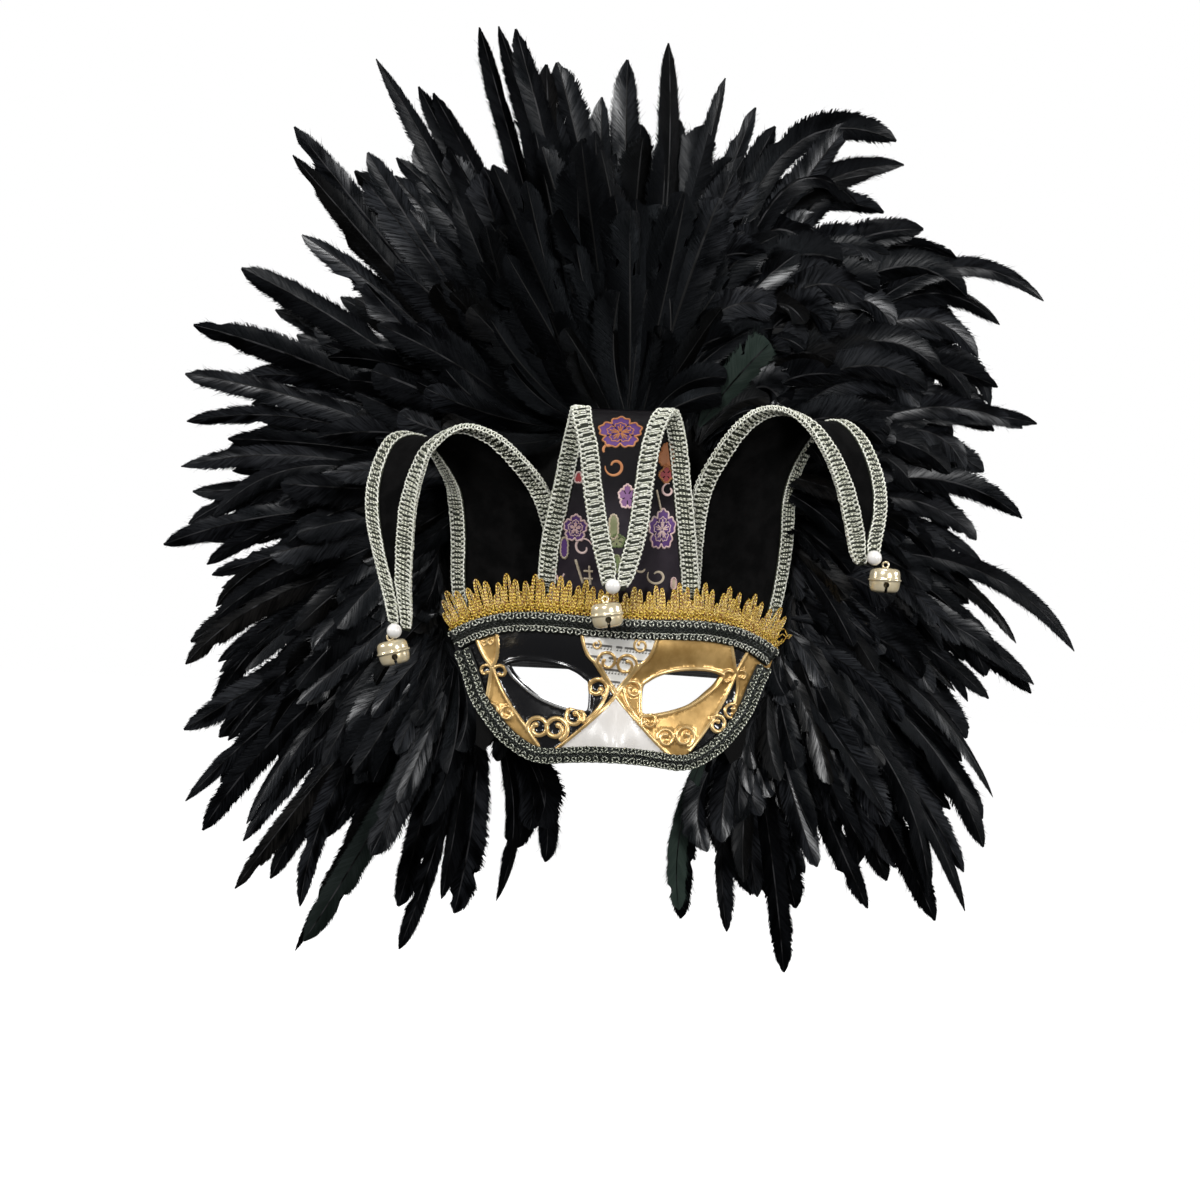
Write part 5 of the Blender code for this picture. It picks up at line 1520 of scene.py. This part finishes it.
def cut_bell():
    """One bell at the origin, as points and triangles."""
    profile = smooth_path(BELL_PROFILE, 60)
    along = unit(np.gradient(profile, axis=0))
    inner = profile + np.stack([along[:, 1], -along[:, 0]], axis=1) * BELL_WALL
    inner[:, 0] = np.maximum(inner[:, 0], 0)
    inner[0, 0] = inner[-1, 0] = 0
    body = helper(*turned([tuple(p) for p in profile], 64))
    hollow = helper(*turned([tuple(p) for p in inner], 64))
    half = BELL_SLOT_WIDTH / 2
    slot = helper(*bar([(-half, CUT_FOOT), (half, CUT_FOOT), (half, BELL_SLOT_TOP),
                        (-half, BELL_SLOT_TOP)], CUT_REACH))
    turn = np.linspace(0, 2 * math.pi, 28, endpoint=False)
    eye = helper(*bar([(BELL_SLOT_EYE * math.cos(t), BELL_SLOT_TOP + BELL_SLOT_EYE * math.sin(t))
                       for t in turn], CUT_REACH))
    for tool in (hollow, slot, eye):
        cut = body.modifiers.new("cut", "BOOLEAN")
        cut.operation, cut.solver, cut.object = "DIFFERENCE", "EXACT", tool
    graph = bpy.context.evaluated_depsgraph_get()
    mesh = bpy.data.meshes.new_from_object(body.evaluated_get(graph))
    mesh.calc_loop_triangles()
    points = np.empty(len(mesh.vertices) * 3)
    mesh.vertices.foreach_get("co", points)
    triangles = np.empty(len(mesh.loop_triangles) * 3, int)
    mesh.loop_triangles.foreach_get("vertices", triangles)
    for used in (body, hollow, slot, eye):
        bpy.data.objects.remove(used)
    return points.reshape(-1, 3), triangles.reshape(-1, 3)


def tilted(points, tilt):
    turn = math.radians(tilt)
    x, y, z = np.asarray(points, float).T
    return np.stack([x * math.cos(turn) - z * math.sin(turn), y,
                     x * math.sin(turn) + z * math.cos(turn)], axis=1)


def ball(radius, centre):
    arc = [(radius * math.sin(a), radius * math.cos(a)) for a in np.linspace(0, math.pi, 25)]
    arc[0], arc[-1] = (0.0, radius), (0.0, -radius)
    points, faces = turned(arc, 40)
    return points + centre, [np.array(faces)]


def inner_faces(points, triangles):
    """Which triangles face the middle of the bell."""
    a, b, c = (points[triangles[:, corner]] for corner in range(3))
    return (np.cross(b - a, c - a) * points[triangles].mean(axis=1)).sum(axis=1) < 0


# %% Bells and pearls in place
def make_bell(name, place, tilt):
    piece = Piece(f"bell_{name}", [BELL_METAL, BELL_INSIDE_SHADE], [f"bell_{name}"], "bell")
    inner = inner_faces(bell_points, bell_triangles)
    piece.add(tilted(bell_points, tilt) + place, [bell_triangles[~inner]], 0)
    # The inner faces take the painted shade.
    piece.add(tilted(bell_points, tilt) + place, [bell_triangles[inner]], 1)
    piece.add(*ball(PELLET_RADIUS, place + tilted([PELLET_PLACE], tilt)[0]), 0)
    turn = np.linspace(0, 2 * math.pi, 24, endpoint=False)
    ring = np.stack([np.cos(turn), 0 * turn, np.sin(turn)], axis=1) * RING_RADIUS
    ring[:, 2] += RING_PLACE
    cord(piece, tilted(ring, tilt) + place, -FRONT, RING_WIRE, 0, sides=8, closed=True)
    piece.build()


def make_pearl(name, place):
    piece = Piece(f"pearl_{name}", [PEARL], [f"pearl_{name}"], "pearl")
    piece.add(*ball(PEARL_DIAMETER / 2, place), 0)
    piece.build()


bell_points, bell_triangles = cut_bell()
print("bell:", len(bell_triangles), "triangles")
for name, x, y, z, tilt, *pearl_place in BELLS:
    make_bell(name, np.array([x, y, z]), tilt)
    make_pearl(name, np.array(pearl_place))

# %% [markdown]
# ## Elastic and feather backing
# Both are plain: a ribbed black elastic round the back of the head, and a felt-covered plate that
# carries the feathers. They keep the solids of the model and only get materials.


# %% Elastic and backing
RIB_PITCH, WEAVE_PITCH = 1.2, 0.8


def elastic_band():
    made = Finish("black elastic", roughness=0.75, sheen_weight=0.2)
    x, y, z = made.parts(made.place())
    rib = (z * (2 * math.pi / RIB_PITCH)).sine() * 0.5 + 0.5
    weave = ((x.absolute() + y) * (2 * math.pi / WEAVE_PITCH)).sine() * 0.5 + 0.5
    made.vary("Base Color", made.mix(rib, (0.012, 0.012, 0.013, 1), (0.035, 0.035, 0.036, 1)))
    made.bump(rib + weave * 0.5, 0.15, 0.8)
    return made.material


def dress(node, material):
    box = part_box(node)
    print(node, "spans", [round(float(high - low) * 1000) for low, high in zip(*box)], "mm")
    bpy.data.objects[node].data.materials.clear()
    bpy.data.objects[node].data.materials.append(material)


dress("elastic_strap", elastic_band())
dress("feather_backing", mottled(
    "black felt", (1.2, 4, 0.7), ((0.002, 0.002, 0.002, 1), (0.008, 0.0078, 0.0078, 1)),
    bump=(0.35, 0.9), specular=0.1, roughness=0.95, sheen_weight=0.03))

# %% [markdown]
# ## Feathers
# A cockerel feather has a curved shaft, a long vane that is widest past the middle, and barbs that
# slant forward. Each feather is a grid: stations along the shaft by columns across the vane. It
# rolls and twists along the way, and the flat map gives the shader the barbs' direction. Notches
# and free barb ends break its edges. Each layer fills sectors round the face.

# %% Fan tables, shared with the solids
BACKING_FRONT, BACKING_DEPTH, BACKING_POWER, BACKING_SLOPE = 6.0, 52.0, 1.35, 0.5
BACKING_THICKNESS, BANK_CLEARANCE, RIDGE = 2.0, 2.2, 3.0
FAN_CENTRE_Z, FAN_SQUEEZE = 69.0, 0.88
REAR_BANKS, FRONT_BANKS = 8, 6
REAR_SPAN, FRONT_SPAN = 148.0, 138.0
REAR_SWEEP, FRONT_SWEEP = 26.0, -9.0
FRONT_STEP_IN = 10.0
ROOT_RING = [  # degrees from the top, radius where the rear feathers start
    (0, 75), (50, 85), (80, 95), (110, 98), (137, 108), (148, 106),
]
REACH = [  # tip angle, radius of the rear feathers' tips
    (-78, 205), (-68, 236), (-56, 226), (-45, 270), (-31, 245), (-20, 222), (-11, 262),
    (0, 212), (12, 228), (21, 246), (34, 252), (46, 262), (60, 266), (70, 250), (80, 266),
    (90, 256), (100, 284), (110, 264), (117, 288), (126, 282), (134, 246), (145, 250),
    (160, 240), (176, 246), (190, 226), (205, 250), (217, 262), (230, 266), (240, 240),
    (248, 226), (258, 204),
]
LONG_TIP_SCALE = 1.035  # the tips lean back, so from the front they look a little nearer
LONG_TIPS = [  # seen x, z of the longest feathers' tips, clockwise from the lower right
    (103, -148), (173, -65), (184, -117), (200, -111), (198, -90), (208, -76), (207, -61),
    (212, -49), (196, -18), (230, 8), (252, 32), (195, 89), (219, 102), (215, 150), (223, 153),
    (200, 171), (198, 204), (221, 218), (175, 235), (140, 284), (135, 296), (110, 304),
    (70, 299), (59, 308), (42, 322), (11, 338), (-10, 328), (-69, 341), (-78, 342), (-88, 341),
    (-110, 306), (-118, 309), (-141, 322), (-182, 270), (-182, 285), (-175, 229), (-206, 210),
    (-230, 179), (-233, 153), (-231, 128), (-233, 104), (-240, 62), (-216, 65), (-223, 11),
    (-225, -1), (-224, -36), (-205, -39), (-221, -74), (-211, -89), (-192, -119),
    (-158, -150), (-134, -108), (-103, -146), (-75, -125), (-53, -117), (45, -121),
]
GREEN_FEATHERS = [  # layer, seen x, z of the tip, width, how far in front, tone
    ("front", 70.0, 187.0, 22.0, 27.0, 0.975), ("rear", 45.0, -120.0, 12.0, 4.0, 0.99),
    ("rear", -159.0, -149.0, 17.0, 6.0, 0.945),
]


def backing_y(x):
    side = np.abs(x)
    near = np.minimum(side, HALF_WIDTH)
    bend = BACKING_DEPTH * (near / HALF_WIDTH) ** BACKING_POWER
    return BACKING_FRONT + bend + BACKING_SLOPE * (side - near)


def fan_point(angle, radius):
    turn = math.radians(angle)
    return np.array([radius * math.cos(turn), FAN_CENTRE_Z + radius * math.sin(turn)])


def root_radius(angle):
    from_top, radius = np.array(ROOT_RING, float).T
    return float(np.interp(abs(90 - angle), from_top, radius))


def tip_reach(angle):
    angles, radii = np.array(REACH, float).T
    return float(np.interp(angle, angles, radii))


# %% Feather finish
SHADE = (-26.0, 190.0, 66.0, 105.0)  # x, z, half width, half height
SHEEN = 0.85           # strongest weight of the sheen
BARB_RUN = 11.0        # how far a barb runs forward from the shaft to the edge
OPEN_EDGE = (0.45, 1.0)  # shares of the half width between which the barbs come apart


def daylight(made):
    """0 over the middle of the head, where no light comes between the feathers, and 1 outside."""
    x, _, z = made.parts(made.place())
    x_middle, z_middle, wide, high = SHADE
    x, z = (x - x_middle) / wide, (z - z_middle) / high
    return (x * x + z * z).step(0.5, 1.7)


def feather_finish():
    """Black with a cool sheen on some. A low tone is duller and browner, a high tone is green.
    Along the sheen's streaks the base colour is lighter and bluer, a painted highlight, and over
    the middle of the head the sheen and that lighter colour are taken away, a painted shade.
    """
    made = Finish("cockerel feather", 0.05, specular_tint=(0.80, 0.90, 1.0, 1),
                  coat_roughness=0.26)
    across, along = made.flat()
    tone = made.tone()
    barb = along - across.absolute() * BARB_RUN
    line = made.noise(made.spot(barb, across, tone * 37.0), 1.0, 3, 0.75)
    wide = made.noise(made.spot(barb * 0.07, across * 0.8, tone * 53.0), 1.0, 1)
    glossy = (tone * 47.0).math("FLOORED_MODULO", 1.0).step(0.25, 1.0)
    # The sheen is dimmed to nothing by daylight over the middle of the head: painted shade.
    sheen = line.step(0.34, 0.64) * wide.step(0.30, 0.58) * (glossy * 0.85 + 0.15) * daylight(made)
    # The base colour is lighter and bluer where the sheen is: a painted highlight.
    black = made.mix(sheen, (0.0003, 0.0003, 0.0004, 1), (0.015, 0.0165, 0.020, 1))
    brown = made.mix(sheen, (0.0008, 0.0007, 0.0006, 1), (0.010, 0.009, 0.008, 1))
    green = made.mix(line * 0.6 + wide * 0.4, (0.004, 0.008, 0.007, 1), (0.058, 0.082, 0.068, 1))
    colour = made.mix(tone.step(0.08, 0.3), brown, black)
    made.vary("Base Color", made.mix(tone.step(0.92, 1.0), colour, green))
    made.vary("Coat Weight", sheen * SHEEN)
    made.vary("Roughness", wide * 0.3 + line * 0.15 + 0.15)
    hair = made.noise(made.spot(barb * 1.2, tone * 91.0), 1.0, 2, 0.8)
    closed = 1.0 - across.absolute().step(*OPEN_EDGE)
    fringe_end = across.absolute().math("GREATER_THAN", 1.5)
    barbs = (closed * 0.7 + hair - 0.55).math("GREATER_THAN", 0.0)
    made.vary("Alpha", barbs.math("MAXIMUM", fringe_end))
    made.bump(line, 0.3, 0.9)
    return made.material


def shaft_finish():
    made = Finish("feather shaft", 0.12)
    soft = made.noise(made.place(), 0.1, 2)
    # The shaft is lighter in random patches, and stays black over the middle of the head: painted
    # shade.
    light = soft.step(0.4, 0.65) * daylight(made)
    made.vary("Base Color", made.mix(light, (0.0008, 0.0008, 0.0008, 1), (0.030, 0.030, 0.032, 1)))
    made.vary("Roughness", soft * 0.2 + 0.3)
    return made.material


FEATHER, SHAFT = feather_finish(), shaft_finish()

# %% One feather
STATIONS = 20
COLUMNS = np.array([-1.0, -0.6, -0.05, 0.0, 0.05, 0.6, 1.0])
SHAFT_COLUMNS = (2, 4)
ROUND_VANE = [  # share of the length, share of the width
    (0, 0.05), (0.08, 0.30), (0.2, 0.62), (0.4, 0.88), (0.62, 1.0), (0.80, 0.98),
    (0.91, 0.80), (0.975, 0.46), (1, 0.08),
]
POINTED_VANE = [
    (0, 0.05), (0.1, 0.38), (0.24, 0.74), (0.42, 0.96), (0.62, 0.96), (0.80, 0.74),
    (0.93, 0.38), (1, 0.04),
]
BARB_SLANT = 1.2       # forward slant of the barbs, as a share of the half width
CAMBER = 0.30          # fall of a vane's edges, as a share of the half width
RIPPLE = 0.07          # of a vane, as a share of the half width
SHAFT_RISE = 0.35      # above the vane
NARROW_SIDE = (0.72, 1.0)  # width of one side, as a share of the other
NOTCH_CHANCE, NOTCH = 0.55, (0.45, 0.75)  # chance, and the share of the width that is left
EDGE_CHANCE = 0.03     # spread of an edge, as a share of the half width
TURN = 18.0            # spread of the roll and the twist, in degrees
FRINGE = 28            # free barb ends on each side of a feather
FRINGE_WIDTH = 0.36
FRINGE_LENGTH, FRINGE_MORE = 1.5, 4.2  # where a vane is narrow, and how much more where it is wide
FRINGE_MAP = [(2.0, 0.0), (2.0, 0.4), (2.0, 3.0)]  # past the vane, so that the shader knows it


def bezier(root, bend, tip, share):
    share = np.asarray(share)[:, None]
    return (1 - share) ** 2 * root + 2 * share * (1 - share) * bend + share**2 * tip


def fringe(piece, edge, inner, along, side, face, share, vane, luck, tone):
    """Free ends of barbs along one edge: thin triangles that lean forward and out."""
    at = luck.uniform(0.10, 0.99, FRINGE)
    base, within, forward, out, up = (columns_at(rows, share, at)
                                      for rows in (edge, inner, along, side, face))
    base = base * 0.75 + within * 0.25
    long = FRINGE_LENGTH + FRINGE_MORE * np.interp(at, share, vane)
    long = long * luck.uniform(0.5, 1.3, FRINGE)
    away = unit(forward + out * luck.uniform(0.15, 0.75, (FRINGE, 1))
                + up * luck.normal(0, 0.15, (FRINGE, 1))) * long[:, None]
    half = forward * FRINGE_WIDTH / 2
    corners = np.stack([base - half, base + half, base + away], axis=1)
    flat = np.tile(FRINGE_MAP, (FRINGE, 1))
    piece.add(corners, [np.arange(3 * FRINGE).reshape(-1, 3)], 0, flat, tone)


def feather(piece, curve, half_width, luck, tone, round_tip, roll=0.0, twist=0.0):
    """A feather whose shaft follows a root, a bend and a tip, turned in degrees about it."""
    share = np.linspace(0, 1, STATIONS) ** 0.9
    shaft = bezier(*np.array(curve, float), share)
    along = unit(np.gradient(shaft, axis=0))
    flat_side = unit(np.cross(along, FRONT))
    facing = np.cross(flat_side, along)
    turn = np.radians(roll * np.minimum(1, share * 3) + twist * share)[:, None]
    side = flat_side * np.cos(turn) + facing * np.sin(turn)
    face = np.cross(side, along)
    tables = [np.interp(share, *np.array(table, float).T) for table in (POINTED_VANE, ROUND_VANE)]
    vane = tables[0] * (1 - round_tip) + tables[1] * round_tip
    reach = COLUMNS[None] * (half_width * vane)[:, None] * np.ones((STATIONS, 1))
    reach[:, COLUMNS > 0] *= luck.uniform(*NARROW_SIDE)
    for column in (0, len(COLUMNS) - 1):
        edge = 1 + luck.normal(0, EDGE_CHANCE, STATIONS)
        if luck.random() < NOTCH_CHANCE:
            edge[luck.integers(7, STATIONS - 2)] *= luck.uniform(*NOTCH)
        reach[:, column] *= edge
    forward = BARB_SLANT * np.abs(reach) * (1 - share[:, None] ** 3 * 0.7)
    wave = RIPPLE * np.sin(share * luck.uniform(4, 11) + luck.uniform(0, 6))[:, None] * reach
    camber = -CAMBER * reach**2 / half_width
    ridge = np.where(COLUMNS == 0, SHAFT_RISE, 0.0)[None] * (1 - share[:, None] * 0.7)
    rise = camber + wave + ridge
    points = (shaft[:, None] + side[:, None] * reach[..., None]
              + along[:, None] * forward[..., None] + face[:, None] * rise[..., None])
    run = run_of(shaft)
    flat = np.stack(np.broadcast_arrays(COLUMNS[None], run[:, None] + forward), axis=-1)
    left, right = SHAFT_COLUMNS
    strip(piece, points[:, :left + 1], 0, flat=flat[:, :left + 1], tone=tone)
    strip(piece, points[:, left:right + 1], 1, flat=flat[:, left:right + 1], tone=tone)
    strip(piece, points[:, right:], 0, flat=flat[:, right:], tone=tone)
    fringe(piece, points[:, 0], points[:, 1], along, -side, face, share, vane, luck, tone)
    fringe(piece, points[:, -1], points[:, -2], along, side, face, share, vane, luck, tone)


# %% A feather's place in the fan
DROOP = [  # tip angle, how strongly the tips turn to the ground there
    (-90, 0.3), (-60, 0.5), (-35, 0.9), (-10, 1.1), (20, 1.3), (45, 1.35), (62, 0.9), (76, 0.3),
    (90, 0.0), (105, 0.15), (130, 0.2), (150, 0.3), (170, 0.5), (195, 0.8), (220, 0.8), (270, 0.3),
]
TIP_RUN = 0.5          # how early a feather turns, as a share of its length
BEND_SWEEP = 0.35      # share of the backward sweep that is reached at the bend
SWAY = 0.13            # how far chance turns a tip aside, as a tangent


def fan_curve(root_angle, root_at, tip_x, tip_z, y_root, sweep, droop, sway=0.0):
    """Root, bend and tip. The shaft leaves the head outward, sways and turns to the ground."""
    root, tip = fan_point(root_angle, root_at), np.array([tip_x, tip_z])
    length = np.linalg.norm(tip - root)
    outward = unit(tip - fan_point(0, 0))
    angles, droops = np.array(DROOP, float).T
    fall = droop * np.interp(tip_angle_of(tip_x, tip_z), angles, droops)
    end = unit(outward + np.array([0.0, -1.0]) * fall)
    bend = tip - (end + np.array([-end[1], end[0]]) * sway) * length * TIP_RUN
    y = y_root + backing_y(root[0])
    return ((root[0], y, root[1]), (bend[0], y + sweep * BEND_SWEEP, bend[1]),
            (tip[0], y + sweep, tip[1]))


def tip_angle_of(x, z):
    angle = math.degrees(math.atan2(z - FAN_CENTRE_Z, x))
    return angle + 360 if angle < -90 else angle


DULL, FULL = (0.0, 0.12), (0.3, 0.9)  # tones of brownish and of black feathers


def chance_feather(piece, curve, widths, tips, luck, dull=0.12, over=0.0):
    """A feather with its width, turn, tone and tip left to chance. dull is the share of brownish
    feathers, and over makes it wider and rounder."""
    half_width = luck.uniform(*widths) * (1 + over) / 2
    roll, twist = luck.normal(0, TURN), luck.normal(0, TURN)
    tone = luck.uniform(*(DULL if luck.random() < dull else FULL))
    round_tip = luck.uniform(*tips) + over
    feather(piece, curve, half_width, luck, tone, round_tip, roll, twist)


def beside_horns(turn):
    """1 where a root lies beside the horns, 0 over the head and below the mask."""
    sideways = np.clip((math.cos(turn) ** 2 - 0.3) / 0.4, 0, 1)
    return sideways * np.clip(math.sin(turn) * 4 - 0.6, 0, 1)


def grow(piece, start, end, count, layer, luck):
    """Feathers with roots spread over a sector. layer holds their shares and sizes."""
    places = start + (np.arange(count) + luck.uniform(0.1, 0.9, count)) / count * (end - start)
    for angle in places:
        if not DENSE_FROM < angle < DENSE_TO and luck.random() > SPARSE:
            continue
        turn = math.radians(angle)
        tip_angle = 90 + (angle - 90) / FAN_SQUEEZE + luck.normal(0, layer["scatter"])
        tip_turn = math.radians(tip_angle)
        share = luck.uniform(*layer["reach"])
        tip = fan_point(tip_angle, tip_reach(tip_angle) * share)
        tip[1] -= layer["fall"] * abs(math.cos(tip_turn)) * luck.uniform(0.3, 1.3)
        step_in = layer["step_in"] * max(0.0, math.sin(turn))
        root_at = root_radius(angle) - step_in + luck.uniform(*layer["root"])
        beside = beside_horns(turn)
        y_root = layer["y"] + luck.uniform(*layer["depth"]) + BEHIND_HORNS * beside
        sweep = layer["sweep"] * share ** 2 + luck.normal(0, 3) + BENT_BACK * beside
        curve = fan_curve(angle, root_at, *tip, y_root, sweep, luck.uniform(0.5, 1.5),
                          luck.normal(0, SWAY))
        over = WIDE_ON_TOP * max(0.0, math.sin(tip_turn)) ** 2
        chance_feather(piece, curve, layer["width"], TIPS, luck, layer["dull"], over)


REAR_Y = BACKING_THICKNESS + BANK_CLEARANCE + RIDGE / 2
FRONT_Y = -BANK_CLEARANCE - RIDGE / 2
BEHIND_HORNS = 4.0     # feathers beside the horns start this much farther back
BENT_BACK = 7.0        # and bend back this much more
REAR_LAYERS = [
    {"count": 27, "reach": (0.80, 0.97), "scatter": 3.0, "fall": 8.0, "step_in": 0.0,
     "root": (0, 8), "y": REAR_Y, "depth": (-0.5, 5.0), "sweep": REAR_SWEEP,
     "width": (12, 20), "dull": 0.08},
    {"count": 30, "reach": (0.60, 0.84), "scatter": 5.0, "fall": 12.0, "step_in": 0.0,
     "root": (0, 6), "y": REAR_Y, "depth": (-1.0, 3.0), "sweep": REAR_SWEEP,
     "width": (13, 22), "dull": 0.1},
]
FRONT_LAYERS = [
    {"count": 36, "reach": (0.56, 0.80), "scatter": 6.0, "fall": 14.0, "step_in": FRONT_STEP_IN,
     "root": (0, 8), "y": FRONT_Y, "depth": (-1.0, 1.0), "sweep": FRONT_SWEEP,
     "width": (13, 22), "dull": 0.12},
    {"count": 34, "reach": (0.42, 0.62), "scatter": 8.0, "fall": 14.0, "step_in": FRONT_STEP_IN,
     "root": (0, 6), "y": FRONT_Y, "depth": (-2.5, 0.0), "sweep": FRONT_SWEEP,
     "width": (11, 19), "dull": 0.3},
]
DENSE_FROM, DENSE_TO = -44.0, 217.0  # root angles between which the fan is full
SPARSE = 0.22          # share of the feathers that grow beyond them
WIDE_ON_TOP = 0.4      # feathers over the head are this share wider, with rounder tips
TIPS, LONG_TIP_ROUND = (0.2, 0.8), (0.1, 1.0)  # 0 is a pointed tip, 1 a round one
LONG_WIDTH = (14, 22)


# %% The banks
def in_sector(x, z, start, end):
    """The root angle of a tip, if its feather grows in the sector."""
    angle = 90 + (tip_angle_of(x, z) - 90) * FAN_SQUEEZE
    return angle if start <= angle < end else None


def make_bank(layer_name, number, start, end, layers, luck):
    node = f"feathers_{layer_name}_{number}"
    piece = Piece(node, [FEATHER, SHAFT], [node], "feather")
    if layer_name == "rear":
        for x, z in np.array(LONG_TIPS) * LONG_TIP_SCALE:
            angle = in_sector(x, z, start, end)
            if angle is not None:
                curve = fan_curve(angle, root_radius(angle) + 2, x, z, REAR_Y + luck.uniform(0, 4),
                                  REAR_SWEEP, luck.uniform(0.4, 1.2), luck.normal(0, SWAY * 0.7))
                chance_feather(piece, curve, LONG_WIDTH, LONG_TIP_ROUND, luck)
    for layer in layers:
        grow(piece, start, end, layer["count"], layer, luck)
    for layer, x, z, width, forward, tone in GREEN_FEATHERS:
        angle = in_sector(x, z, start, end)
        if layer == layer_name and angle is not None:
            y, sweep = (FRONT_Y, FRONT_SWEEP) if layer == "front" else (REAR_Y, REAR_SWEEP)
            curve = fan_curve(angle, root_radius(angle), x, z, y, sweep - forward, 0.3)
            feather(piece, curve, width / 2, luck, tone, 1.0)
    piece.build()


luck = np.random.default_rng(21)
for layer_name, count, span, layers in (("rear", REAR_BANKS, REAR_SPAN, REAR_LAYERS),
                                        ("front", FRONT_BANKS, FRONT_SPAN, FRONT_LAYERS)):
    borders = np.linspace(90 - span, 90 + span, count + 1)
    for number, (start, end) in enumerate(zip(borders[:-1], borders[1:]), start=1):
        make_bank(layer_name, number, start, end, layers, luck)
